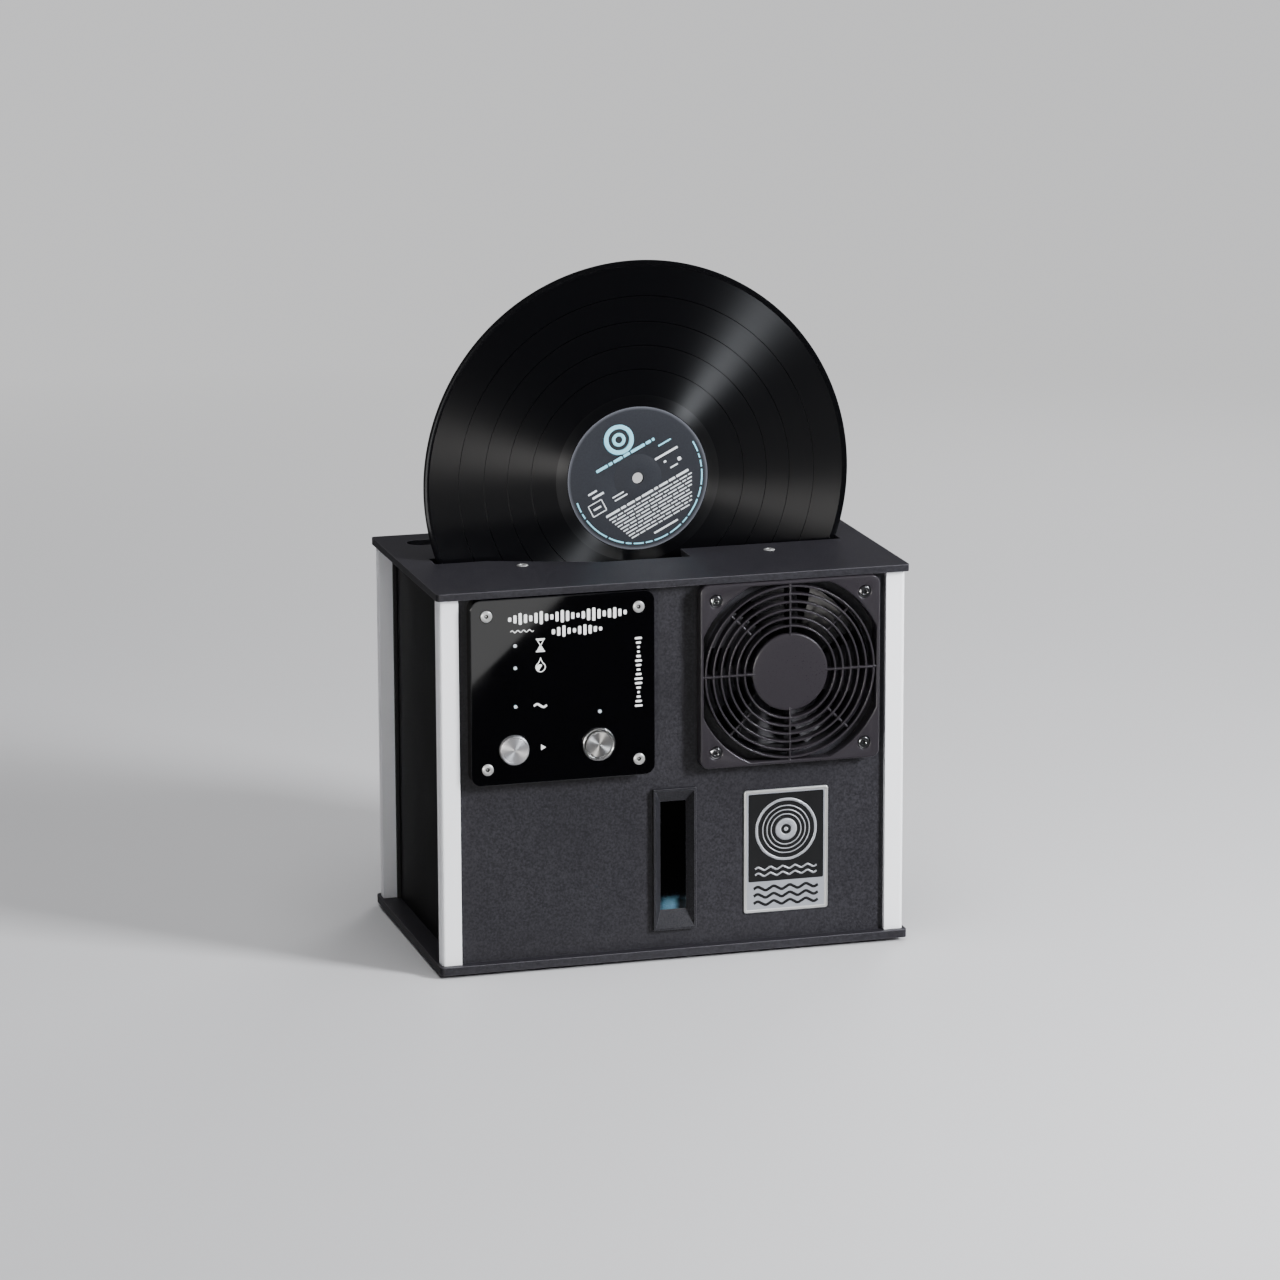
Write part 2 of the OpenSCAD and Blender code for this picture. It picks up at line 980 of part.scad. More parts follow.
module record_motor() {
    color("silver")
    translate([rec_x - roller_x, rec_y + basin_half + basin_wall, roller_z])
        rotate([-90, 0, 0])
            difference() {
                union() {
                    cylinder(r = 9, h = 3);
                    translate([0, 0, 2])
                        cylinder(r = 18.5, h = 24);
                }
                translate([0, 0, -1])
                    cylinder(r = axle_r + play, h = 13);
            }
}

// Record

hole_r = 3.65;
groove_in = 58;
groove_out = 146.5;
groove_dip = 0.25;
label_dip = 0.2;

module record() {
    color([0.02, 0.02, 0.025])
    translate([rec_x, rec_y, rec_z])
        rotate([-90, 0, 0])
            rotate_extrude($fn = 128)
                polygon(concat(record_face(1), record_face(-1)));
}

// One face's points, outwards for the upper face and inwards for the lower.
function record_face(side) =
    let (h = rec_t/2,
        pts = [[hole_r, h - label_dip], [label_r, h - label_dip], [label_r, h],
            [groove_in - 3, h], [groove_in, h - groove_dip], [groove_out, h - groove_dip],
            [groove_out + 1.5, h], [rec_r - 0.8, h], [rec_r, h - 0.5]],
        n = len(pts))
    side > 0 ? pts : [for (i = [n - 1 : -1 : 0]) [pts[i][0], -pts[i][1]]];

module record_label() {
    color([0.2, 0.26, 0.33])
    translate([rec_x, rec_y, rec_z])
        rotate([90, 0, 0])
            for (side = [-1, 1])
                translate([0, 0, side*(rec_t/2 - label_dip/2)])
                    difference() {
                        cylinder(r = label_r - 0.2, h = label_dip, center = true);
                        cylinder(r = hole_r, h = 1, center = true);
                    }
}

// Ultrasonic transducer under the basin

transducer_x = 84;

module transducer() {
    color([0.7, 0.68, 0.62])
    translate([transducer_x, rec_y, 0])
        rotate_extrude()
            polygon([[0, 100], [4, 100], [4, 104], [16, 104], [16, 112], [17.5, 112],
                [17.5, 120], [16, 120], [16, 127], [20, 129], [22, 143], [22, floor_z],
                [0, floor_z]]);
}

// Water tank, with a neck behind the window and a filling chute

tank_x0 = -140;
tank_x1 = 68;
tank_y0 = -52;
tank_y1 = 60;
tank_top = 84;
tank_wall = 2.5;
neck_half = 14;
neck_z0 = 20;
neck_z1 = 118;
chute_wall = 1.5;

module tank() {
    color([0.75, 0.78, 0.8])
    difference() {
        union() {
            box(tank_x0, tank_x1, tank_y0, tank_y1, base_top, tank_top);
            box(-neck_half, neck_half, front_y + panel_t, tank_y0 + 1, neck_z0, neck_z1);
            translate([0, 0, tank_top - 1])
                linear_extrude(lid_under - tank_top + 1)
                    fill_outline(chute_wall);
            on_rear(drain_x, drain_z)
                translate([0, 0, -rear_y + tank_y1 - 1])
                    cylinder(r = drain_r, h = rear_y - tank_y1 + 6);
            translate([return_x, rec_y, tank_top - 1])
                cylinder(r = 14, h = 34);
            translate([return_x, rec_y, tank_top + 33 - eps])
                cylinder(r = nozzle_r + 1.5, h = floor_z - 12 - tank_top - 33 + eps);
        }
        box(tank_x0 + tank_wall, tank_x1 - tank_wall, tank_y0 + tank_wall,
            tank_y1 - tank_wall, base_top + tank_wall, tank_top - tank_wall);
        box(-neck_half + tank_wall, neck_half - tank_wall, front_y + panel_t - 1,
            tank_y0 + tank_wall + 1, neck_z0 + tank_wall, tank_top - tank_wall);
        box(-neck_half + tank_wall, neck_half - tank_wall, front_y + panel_t - 1,
            tank_y0 - tank_wall, neck_z0 + tank_wall, neck_z1 - tank_wall);
        translate([0, 0, tank_top - tank_wall - 1])
            linear_extrude(lid_under - tank_top + tank_wall + 2)
                fill_outline(0);
        on_rear(drain_x, drain_z)
            translate([0, 0, -rear_y + tank_y1 - tank_wall - 1])
                cylinder(r = drain_r - 2, h = rear_y - tank_y1 + tank_wall + 8);
        translate([return_x, rec_y, tank_top - tank_wall - 1])
            cylinder(r = 3, h = floor_z - tank_top);
    }
}

// Pump, with its outlet hose up to the basin

pump_x = 106;
pump_y = -20;
volute_r = 24;

module pump() {
    color([0.12, 0.12, 0.13])
    difference() {
        union() {
            translate([pump_x, pump_y, base_top])
                cylinder(r = volute_r, h = 26);
            translate([pump_x, pump_y, base_top + 25])
                cylinder(r = 17, h = 44);
            translate([feed_x, rec_y, base_top])
                cylinder(r = 8, h = 26);
            box(pump_x, feed_x + 8, pump_y + 4, rec_y, base_top, base_top + 26);
            translate([feed_x, rec_y, base_top + 25])
                cylinder(r = nozzle_r + 2, h = floor_z - 12 - base_top - 25);
            translate([tank_x1, pump_y, base_top + 12])
                rotate([0, 90, 0])
                    cylinder(r = 5, h = pump_x - tank_x1);
        }
        translate([feed_x, rec_y, base_top + 6])
            cylinder(r = 3, h = floor_z);
    }
}

module drain_cap() {
    color([0.06, 0.06, 0.06])
    on_rear(drain_x, drain_z)
        difference() {
            union() {
                translate([0, 0, 0.5])
                    cylinder(r = 9.5, h = 10.5);
                translate([0, 0, 10])
                    cylinder(r = 7, h = 2.2);
                for (i = [0 : 15])
                    rotate([0, 0, i*22.5])
                        translate([9.3, 0, 0.5])
                            cylinder(r = 0.8, h = 10, $fn = 16);
            }
            translate([0, 0, -1])
                cylinder(r = drain_r + 0.3, h = 8);
        }
}

// Power parts at the rear

module power_supply() {
    color([0.5, 0.5, 0.52])
    union() {
        box(82, 144, 34, 74, base_top, base_top + 44);
        for (i = [0 : 7])
            box(86 + i*7, 89 + i*7, 36, 72, base_top + 44 - eps, base_top + 50);
    }
}

module power_inlet() {
    color([0.05, 0.05, 0.05])
    on_rear(inlet_x, rear_low_z) {
        difference() {
            union() {
                linear_extrude(2)
                    rounded_rect(inlet_w + 8, inlet_h + 6, 3);
                translate([-inlet_w/2, -inlet_h/2, -12])
                    cube([inlet_w, inlet_h, 12 + eps]);
            }
            translate([-11, -8, -9])
                cube([22, 16, 12]);
        }
        for (x = [-5, 5])
            translate([x - 1, -2, -9 - eps])
                cube([2, 4, 8]);
    }
}

rocker_w = 10;
rocker_len = 15.2;
rocker_pivot = -3;
rocker_pin_r = 1.5;

module power_switch() {
    color([0.05, 0.05, 0.05])
    on_rear(switch_x, rear_low_z) {
        difference() {
            union() {
                linear_extrude(1.6)
                    rounded_rect(switch_w + 4, switch_h + 4, 2);
                translate([-switch_w/2, -switch_h/2, -14])
                    cube([switch_w, switch_h, 14 + eps]);
            }
            translate([-rocker_w/2 - 0.3, -rocker_len/2 - 1.6, -9])
                cube([rocker_w + 0.6, rocker_len + 3.2, 12]);
        }
        translate([0, 0, rocker_pivot])
            rotate([0, 90, 0])
                cylinder(r = rocker_pin_r, h = switch_w - 1, center = true);
    }
}

// The rocker, tilted towards its lower end, turning on the housing's pin.
module power_rocker() {
    color([0.6, 0.08, 0.06])
    on_rear(switch_x, rear_low_z)
        difference() {
                translate([-rocker_w/2, 0, 0])
                    rotate([90, 0, 90])
                        linear_extrude(rocker_w)
                            polygon([[-rocker_len/2, -3], [0, -5.2], [rocker_len/2, -2.4],
                                [rocker_len/2, 0.9], [0, 1.5], [-rocker_len/2, 3]]);
                translate([0, 0, rocker_pivot])
                    rotate([0, 90, 0])
                        cylinder(r = rocker_pin_r + play, h = switch_w, center = true);
            }
}

base_plate();
feet();
post(-1, -1);  // post_front_left
post(1, -1);  // post_front_right
post(-1, 1);  // post_rear_left
post(1, 1);  // post_rear_right
front_panel();
rear_panel();
side_panel(-1);  // side_panel_left
side_panel(1);  // side_panel_right
panel_seals();
lid();
case_screws();
control_plate();
control_screws();
start_button();
mode_button();
mode_bezel();
led_lenses();
control_board();
fan_guard();
guard_screws();
fan_front_frame();
fan_front_rotor();
fan_rear_frame();
fan_rear_rotor();
rear_guard();
rear_guard_screws();
duct_front();
duct_rear();
window_frame();
window_pane();
level_float();
badge();
basin();
wiper_holders();
wiper_lips();
gearbox();
barrel_motor();
spindle(-1, -1);  // spindle_front_left
spindle(1, -1);  // spindle_front_right
spindle(-1, 1);  // spindle_rear_left
spindle(1, 1);  // spindle_rear_right
sleeve(-1, -1);  // sleeve_front_left
sleeve(1, -1);  // sleeve_front_right
sleeve(-1, 1);  // sleeve_rear_left
sleeve(1, 1);  // sleeve_rear_right
drive_roller();
support_roller();
record_motor();
record();
record_label();
transducer();
tank();
pump();
drain_cap();
power_supply();
power_inlet();
power_switch();
power_rocker();
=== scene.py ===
import math

import bmesh
import bpy
from mathutils import Matrix, Quaternion, Vector


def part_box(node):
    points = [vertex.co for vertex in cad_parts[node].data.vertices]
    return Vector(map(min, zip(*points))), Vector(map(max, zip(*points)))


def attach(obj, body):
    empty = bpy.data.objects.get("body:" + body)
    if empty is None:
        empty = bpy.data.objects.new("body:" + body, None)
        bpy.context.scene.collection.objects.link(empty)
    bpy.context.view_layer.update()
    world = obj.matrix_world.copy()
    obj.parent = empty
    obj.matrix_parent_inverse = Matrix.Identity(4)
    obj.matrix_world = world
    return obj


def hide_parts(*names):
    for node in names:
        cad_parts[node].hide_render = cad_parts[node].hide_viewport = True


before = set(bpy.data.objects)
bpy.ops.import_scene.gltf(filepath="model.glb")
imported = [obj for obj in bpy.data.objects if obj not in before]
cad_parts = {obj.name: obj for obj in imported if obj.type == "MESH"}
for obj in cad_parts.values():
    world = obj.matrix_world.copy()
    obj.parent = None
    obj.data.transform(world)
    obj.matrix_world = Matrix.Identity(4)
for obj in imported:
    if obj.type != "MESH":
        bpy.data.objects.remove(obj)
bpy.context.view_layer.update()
scene = bpy.context.scene
mm = 0.001
frontTurn = (math.pi / 2, 0, 0)   # a flat shape turned to face the front, its height upwards


# Small helpers for operators and nodes

def deselectAll():
    if bpy.context.object and bpy.context.object.mode != "OBJECT":
        bpy.ops.object.mode_set(mode="OBJECT")
    bpy.ops.object.select_all(action="DESELECT")


def takeUp(piece):
    deselectAll()
    piece.select_set(True)
    bpy.context.view_layer.objects.active = piece


def nameNew(name):   # the object that the last operator added
    piece = bpy.context.object
    piece.name = name
    piece.data.name = name
    takeUp(piece)
    return piece


def openEdit(piece):
    takeUp(piece)
    bpy.ops.object.mode_set(mode="EDIT")


def closeEdit():
    bpy.ops.object.mode_set(mode="OBJECT")


def smoothUpTo(piece, angle):   # sharper edges stay sharp
    takeUp(piece)
    bpy.ops.object.shade_smooth_by_angle(angle=math.radians(angle))


def pick(piece, kind, test):
    bpy.ops.mesh.select_mode(type=kind)
    bpy.ops.mesh.select_all(action="DESELECT")
    mesh = bmesh.from_edit_mesh(piece.data)
    for part in {"FACE": mesh.faces, "EDGE": mesh.edges, "VERT": mesh.verts}[kind]:
        part.select_set(bool(test(part)))
    bmesh.update_edit_mesh(piece.data)


def pickFaces(piece, test):   # test gets a face's middle and normal
    pick(piece, "FACE", lambda face: test(face.calc_center_median(), face.normal))


def pickEdges(piece, test):   # test gets an edge's two ends
    pick(piece, "EDGE", lambda edge: test(edge.verts[0].co, edge.verts[1].co))


def pickPoints(piece, test):
    pick(piece, "VERT", lambda point: test(point.co))


def bakePlace(piece):   # place, turn and size go into the mesh
    takeUp(piece)
    bpy.ops.object.transform_apply(location=True, rotation=True, scale=True)


def applyModifier(piece, kind, settings):
    takeUp(piece)
    modifier = piece.modifiers.new(kind.title(), kind)
    for key, value in settings.items():
        setattr(modifier, key, value)
    bpy.ops.object.modifier_apply(modifier=modifier.name)


def copyOf(piece, name):   # with a mesh of its own
    takeUp(piece)
    bpy.ops.object.duplicate(linked=False)
    return nameNew(name)


def joinPieces(pieces, name):
    takeUp(pieces[0])
    for piece in pieces[1:]:
        piece.select_set(True)
    bpy.ops.object.join()
    return nameNew(name)


def finishPiece(piece, material, body):
    takeUp(piece)
    if material:
        piece.data.materials.clear()
        piece.data.materials.append(material)
    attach(piece, body)
    return piece


def tone(red, green, blue):   # screen values to a linear colour
    parts = []
    for value in (red, green, blue):
        part = value / 255
        parts.append(part / 12.92 if part <= 0.04045 else ((part + 0.055) / 1.055) ** 2.4)
    return (*parts, 1.0)


def feed(tree, entry, value):   # a socket is linked, a plain value is set
    if isinstance(value, bpy.types.NodeSocket):
        tree.links.new(value, entry)
    elif value is not None:
        entry.default_value = value


def addNode(tree, kind, settings=None, entries=None):
    node = tree.nodes.new(kind)
    for key, value in (settings or {}).items():
        setattr(node, key, value)
    for key, value in (entries or {}).items():
        feed(tree, node.inputs[key], value)
    return node


def calc(tree, operation, first, second=None, third=None, clamp=False):
    node = addNode(tree, "ShaderNodeMath", {"operation": operation, "use_clamp": clamp})
    for entry, value in zip(node.inputs, (first, second, third)):
        feed(tree, entry, value)
    return node.outputs[0]


def remap(tree, value, low, high, toLow, toHigh):
    entries = {"Value": value, "From Min": low, "From Max": high, "To Min": toLow, "To Max": toHigh}
    return addNode(tree, "ShaderNodeMapRange", {}, entries).outputs[0]


def mixColour(tree, share, first, second):
    node = addNode(tree, "ShaderNodeMix", {"data_type": "RGBA"})
    feed(tree, node.inputs[0], share)
    feed(tree, node.inputs[6], first)
    feed(tree, node.inputs[7], second)
    return node.outputs[2]


def noise(tree, place, scale, detail, **more):
    entries = {"Vector": place, "Scale": scale, "Detail": detail, **more}
    return addNode(tree, "ShaderNodeTexNoise", {}, entries).outputs["Fac"]


def bump(tree, height, strength, distance, normal=None):
    node = addNode(tree, "ShaderNodeBump", {}, {"Strength": strength, "Distance": distance, "Height": height})
    feed(tree, node.inputs["Normal"], normal)
    return node.outputs["Normal"]


def objectPlace(tree):
    return tree.nodes.new("ShaderNodeTexCoord").outputs["Object"]


def newMaterial(name, plain):
    material = bpy.data.materials.new(name)
    material.use_nodes = True
    for socket, value in plain.items():
        shaderOf(material).inputs[socket].default_value = value
    return material


def shaderOf(material):
    return material.node_tree.nodes["Principled BSDF"]


def newGroup(name, entries, exits):
    group = bpy.data.node_groups.new(name, "ShaderNodeTree")
    for label, kind, value in entries:
        group.interface.new_socket(label, in_out="INPUT", socket_type="NodeSocket" + kind).default_value = value
    for label, kind in exits:
        group.interface.new_socket(label, in_out="OUTPUT", socket_type="NodeSocket" + kind)
    return group, group.nodes.new("NodeGroupInput"), group.nodes.new("NodeGroupOutput")


def placeGroup(material, group, values):
    return addNode(material.node_tree, "ShaderNodeGroup", {"node_tree": group}, values)


def dress(material, *names):   # a carried-over part gets this material in each of its slots
    for name in names:
        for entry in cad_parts[name].material_slots:
            entry.material = material


def chosen(values, *names):   # a group's entries, each named as its setting
    return {name: values[name.lower()] for name in names}


def radialTangent(tree, shader):   # gloss is drawn out round an axis that points to the front
    around = addNode(tree, "ShaderNodeTangent", {"direction_type": "RADIAL", "axis": "Y"})
    feed(tree, shader.inputs["Tangent"], around.outputs[0])


# Camera, at the photograph's angle

view = {
    "azimuth": -15.817,
    "elevation": 13.233,
    "distance": 3.65624,
    "target": Vector((0.00179, 0, 0.20305)),
    "roll": -0.2046,
    "lens": 149.27,
    "shift": -1.5 / 1280,
}

azimuth, elevation = math.radians(view["azimuth"]), math.radians(view["elevation"])
back = Vector((math.sin(azimuth) * math.cos(elevation), -math.cos(azimuth) * math.cos(elevation),
               math.sin(elevation)))
bpy.ops.object.camera_add(location=view["target"] + back * view["distance"])
camera = nameNew("camera")
turn = (-back).to_track_quat("-Z", "Y") @ Quaternion((0, 0, 1), math.radians(view["roll"]))
camera.rotation_euler = turn.to_euler()
camera.data.lens = view["lens"]
camera.data.sensor_width = 36
camera.data.shift_y = view["shift"]
scene.camera = camera
print("stage: camera placed")


# Floor, world and lamps

studio = {
    "paleRoom": (0.80, 0.80, 0.81, 1),       # what camera and glass see
    "backRoom": (0.16, 0.16, 0.165, 1),      # what gloss sees of the room behind the object
    "frontRoom": (0.03, 0.03, 0.032, 1),     # and of the unlit room in front of it
    "fill": (0.13, 0.13, 0.136, 1),          # what lights the object from all round
    "floor": tone(206, 206, 208),
    "floorFades": (0.75, 2.2),      # metres from the middle
    "glossFades": (0.10, 0.22),     # the same, as gloss sees it
    "aim": Vector((0, 0, 0.28)),
    "key": {"toward": (0.672, -0.657, 0.341), "reach": 2.2, "size": (0.5, 0.8), "power": 118,
            "tint": (0.97, 0.98, 1.0), "gloss": False},
    "keyGloss": {"toward": (0.672, -0.657, 0.341), "reach": 2.2, "size": (0.15, 0.34), "power": 40,
                 "tint": (0.90, 0.94, 1.0), "diffuse": False},
    "sideGloss": {"toward": (-0.456, -0.890, -0.022), "reach": 2.0, "size": (0.20, 0.34), "power": 17,
                  "tint": (1.0, 0.97, 0.94), "diffuse": False},
    "top": {"toward": (-0.10, -0.25, 1.0), "reach": 2.2, "size": (1.5, 1.5), "power": 40, "tint": (1, 1, 1),
            "gloss": False},
    "back": {"toward": (0.55, 0.80, 0.35), "reach": 2.4, "size": (1.0, 0.8), "power": 30, "tint": (1, 1, 1),
             "gloss": False},
    "card": {"place": (0.005, -0.7637, 0.1274), "turn": 42.3, "size": (0.22, 0.16), "power": 0.21},
}


def seenRay(tree):   # 1 for camera, glossy and transmission rays
    path = tree.nodes.new("ShaderNodeLightPath")
    either = calc(tree, "MAXIMUM", path.outputs["Is Camera Ray"], path.outputs["Is Glossy Ray"])
    return calc(tree, "MAXIMUM", either, path.outputs["Is Transmission Ray"])


def roomInGloss(tree, depth):   # pale behind the object, unlit in front of it
    path = tree.nodes.new("ShaderNodeLightPath")
    front = remap(tree, depth, 0.3, -0.3, 0, 1)
    glossy = mixColour(tree, front, studio["backRoom"], studio["frontRoom"])
    return mixColour(tree, path.outputs["Is Glossy Ray"], studio["paleRoom"], glossy)


def makeWorld():
    world = bpy.data.worlds.new("paleRoom")
    scene.world = world
    world.use_nodes = True
    tree = world.node_tree
    sky = tree.nodes["Background"]
    around = tree.nodes.new("ShaderNodeTexCoord").outputs["Generated"]
    toward = addNode(tree, "ShaderNodeSeparateXYZ", {}, {0: around})
    room = roomInGloss(tree, toward.outputs["Y"])
    feed(tree, sky.inputs["Color"], mixColour(tree, seenRay(tree), studio["fill"], room))


def makeFloor():
    bpy.ops.mesh.primitive_circle_add(vertices=96, radius=6, fill_type="NGON", location=(0, 0, -0.0002))
    floor = nameNew("floor")
    bakePlace(floor)
    material = newMaterial("floorPaint", {"Roughness": 0.55, "Specular IOR Level": 0.25})
    tree = material.node_tree
    place = objectPlace(tree)
    apart = addNode(tree, "ShaderNodeVectorMath", {"operation": "LENGTH"}, {0: place}).outputs["Value"]
    cloud = remap(tree, noise(tree, place, 9.0, 4.0), 0.3, 0.7, 0, 0.05)
    feed(tree, shaderOf(material).inputs["Base Color"],
         mixColour(tree, cloud, studio["floor"], tone(190, 190, 192)))
    depth = addNode(tree, "ShaderNodeSeparateXYZ", {}, {0: place}).outputs["Y"]
    far = calc(tree, "MULTIPLY", remap(tree, apart, *studio["floorFades"], 0, 1), seenRay(tree))
    path = tree.nodes.new("ShaderNodeLightPath")
    inGloss = calc(tree, "MULTIPLY", remap(tree, apart, *studio["glossFades"], 0, 1),
                   path.outputs["Is Glossy Ray"])
    haze = addNode(tree, "ShaderNodeEmission", {}, {"Color": roomInGloss(tree, depth), "Strength": 1.0})
    blendNode = tree.nodes.new("ShaderNodeMixShader")
    feed(tree, blendNode.inputs[0], calc(tree, "MAXIMUM", far, inGloss))
    tree.links.new(shaderOf(material).outputs[0], blendNode.inputs[1])
    tree.links.new(haze.outputs[0], blendNode.inputs[2])
    tree.links.new(blendNode.outputs[0], tree.nodes["Material Output"].inputs["Surface"])
    floor.data.materials.append(material)


def makeLamp(name):
    lamp = studio[name]
    toward = Vector(lamp["toward"]).normalized()
    bpy.ops.object.light_add(type="AREA", location=studio["aim"] + toward * lamp["reach"])
    light = nameNew(name)
    light.rotation_euler = (-toward).to_track_quat("-Z", "Y").to_euler()
    light.data.shape = "RECTANGLE"
    light.data.size, light.data.size_y = lamp["size"]
    light.data.energy = lamp["power"]
    light.data.color = lamp["tint"]
    light.visible_camera = False
    light.visible_diffuse = lamp.get("diffuse", True)
    light.visible_glossy = lamp.get("gloss", True)


def makeCard():   # a small card that only gloss sees: the corner of light on the control plate
    card = studio["card"]
    bpy.ops.object.light_add(type="AREA", location=card["place"])
    light = nameNew("card")
    light.rotation_euler = (math.pi / 2, math.radians(-card["turn"]), 0)
    light.data.shape = "RECTANGLE"
    light.data.size, light.data.size_y = card["size"]
    light.data.energy = card["power"]
    light.visible_camera = light.visible_diffuse = False


makeWorld()
makeFloor()
for lampName in ("key", "keyGloss", "sideGloss", "top", "back"):
    makeLamp(lampName)
makeCard()
print("stage: floor, world and lamps")


# Effects that several finishes share

def drifting(group, entry, drift):   # roughness that wanders about its setting
    return calc(group, "MULTIPLY_ADD", drift, entry.outputs["Spread"], entry.outputs["Rough"], clamp=True)


def makeFineGrain():   # speckle of a sprayed or moulded skin, and slow clouding over it
    group, entry, leave = newGroup("fineGrain", [
        ("Base", "Color", (0.03, 0.03, 0.03, 1)), ("Fleck", "Color", (0.06, 0.06, 0.06, 1)),
        ("Scale", "Float", 1500.0), ("Share", "Float", 0.5), ("Rough", "Float", 0.5), ("Spread", "Float", 0.1),
    ], [("Color", "Color"), ("Roughness", "Float"), ("Height", "Float")])
    place = objectPlace(group)
    fine = noise(group, place, entry.outputs["Scale"], 3.0, Roughness=0.6)
    cloud = noise(group, place, 14.0, 3.0)
    speck = calc(group, "MULTIPLY", remap(group, fine, 0.35, 0.7, 0, 1), entry.outputs["Share"])
    clouded = calc(group, "MULTIPLY", speck, remap(group, cloud, 0.3, 0.7, 0.75, 1.25))
    feed(group, leave.inputs["Color"], mixColour(group, clouded, entry.outputs["Base"], entry.outputs["Fleck"]))
    drift = calc(group, "ADD", calc(group, "SUBTRACT", fine, 0.5),
                 calc(group, "MULTIPLY", calc(group, "SUBTRACT", cloud, 0.5), 0.8))
    feed(group, leave.inputs["Roughness"], drifting(group, entry, drift))
    feed(group, leave.inputs["Height"], fine)
    return group


def makeEdgeWearAndHighlight():   # finds edges, rounds their shading, and gives the mask for the edge colour, which is wear and a painted highlight along the edges
    group, entry, leave = newGroup("edgeWearAndHighlight", [("Radius", "Float", 0.0005), ("Gain", "Float", 4.0)],
                                   [("Edge", "Float"), ("Normal", "Vector")])
    soft = addNode(group, "ShaderNodeBevel", {"samples": 6}, {"Radius": entry.outputs["Radius"]}).outputs[0]
    hard = group.nodes.new("ShaderNodeNewGeometry").outputs["Normal"]
    alike = addNode(group, "ShaderNodeVectorMath", {"operation": "DOT_PRODUCT"}, {0: soft, 1: hard})
    apart = calc(group, "SUBTRACT", 1.0, alike.outputs["Value"])
    broken = noise(group, objectPlace(group), 260.0, 4.0)
    wearAndHighlight = calc(group, "MULTIPLY", calc(group, "MULTIPLY", apart, entry.outputs["Gain"]),
                remap(group, broken, 0.35, 0.65, 0.45, 1.1))
    feed(group, leave.inputs["Edge"], calc(group, "MINIMUM", wearAndHighlight, 1.0, clamp=True))
    feed(group, leave.inputs["Normal"], soft)
    return group


def makeBrushed():   # fine lines drawn out along one direction
    group, entry, leave = newGroup("brushed", [
        ("Stretch", "Vector", (4000, 4000, 30)), ("Rough", "Float", 0.3), ("Spread", "Float", 0.1),
    ], [("Line", "Float"), ("Roughness", "Float")])
    drawn = addNode(group, "ShaderNodeVectorMath", {"operation": "MULTIPLY"},
                    {0: objectPlace(group), 1: entry.outputs["Stretch"]}).outputs[0]
    line = noise(group, drawn, 1.0, 4.0, Roughness=0.65)
    feed(group, leave.inputs["Line"], line)
    feed(group, leave.inputs["Roughness"], drifting(group, entry, calc(group, "SUBTRACT", line, 0.5)))
    return group


def makeTurned():   # rings about an axis that points to the front
    group, entry, leave = newGroup("turned", [
        ("Centre", "Vector", (0, 0, 0)), ("Density", "Float", 3000.0), ("Rough", "Float", 0.3),
        ("Spread", "Float", 0.1),
    ], [("Radius", "Float"), ("Ring", "Float"), ("Roughness", "Float")])
    away = addNode(group, "ShaderNodeVectorMath", {"operation": "SUBTRACT"},
                   {0: objectPlace(group), 1: entry.outputs["Centre"]}).outputs[0]
    flat = addNode(group, "ShaderNodeVectorMath", {"operation": "MULTIPLY"}, {0: away, 1: (1, 0, 1)}).outputs[0]
    radius = addNode(group, "ShaderNodeVectorMath", {"operation": "LENGTH"}, {0: flat}).outputs["Value"]
    ring = addNode(group, "ShaderNodeTexNoise", {"noise_dimensions": "1D"},
                   {"W": calc(group, "MULTIPLY", radius, entry.outputs["Density"]), "Scale": 1.0,
                    "Detail": 3.0, "Roughness": 0.7}).outputs["Fac"]
    feed(group, leave.inputs["Radius"], radius)
    feed(group, leave.inputs["Ring"], ring)
    feed(group, leave.inputs["Roughness"], drifting(group, entry, calc(group, "SUBTRACT", ring, 0.5)))
    return group


def makeHandled():   # soft patches left by hands and cloths on gloss
    group, entry, leave = newGroup("handled", [("Scale", "Float", 30.0), ("Amount", "Float", 0.1)],
                                   [("Film", "Float")])
    patch = noise(group, objectPlace(group), entry.outputs["Scale"], 5.0, Distortion=0.6)
    feed(group, leave.inputs["Film"],
         calc(group, "MULTIPLY", remap(group, patch, 0.45, 0.75, 0, 1), entry.outputs["Amount"]))
    return group


fineGrain = makeFineGrain()
edgeWearAndHighlight = makeEdgeWearAndHighlight()
brushed = makeBrushed()
turned = makeTurned()
handled = makeHandled()


# Finishes of painted and moulded parts

usualGrain = {"scale": 900, "share": 0.5, "spread": 0.14, "edge": 0.5, "gain": 3.0, "bump": 0.2, "depth": 0.08,
              "gloss": 0.5}
usualMetal = {"spread": 0.12, "bump": 0.05, "depth": 0.04}


def edgesOf(material, values):
    return placeGroup(material, edgeWearAndHighlight, {"Radius": values["edge"] * mm, "Gain": values["gain"]})


def grainFinish(name, exceptions):
    values = {**usualGrain, **exceptions}
    material = newMaterial(name, {"Specular IOR Level": values["gloss"]})
    tree, shader = material.node_tree, shaderOf(material)
    grain = placeGroup(material, fineGrain, chosen(values, "Base", "Fleck", "Scale", "Share", "Rough", "Spread"))
    edge = edgesOf(material, values)
    # edges take the wearAndHighlight colour: wear, and a painted highlight along them
    feed(tree, shader.inputs["Base Color"],
         mixColour(tree, edge.outputs["Edge"], grain.outputs["Color"], values["wearAndHighlight"]))
    feed(tree, shader.inputs["Roughness"], grain.outputs["Roughness"])
    feed(tree, shader.inputs["Normal"],
         bump(tree, grain.outputs["Height"], values["bump"], values["depth"] * mm, edge.outputs["Normal"]))
    return material
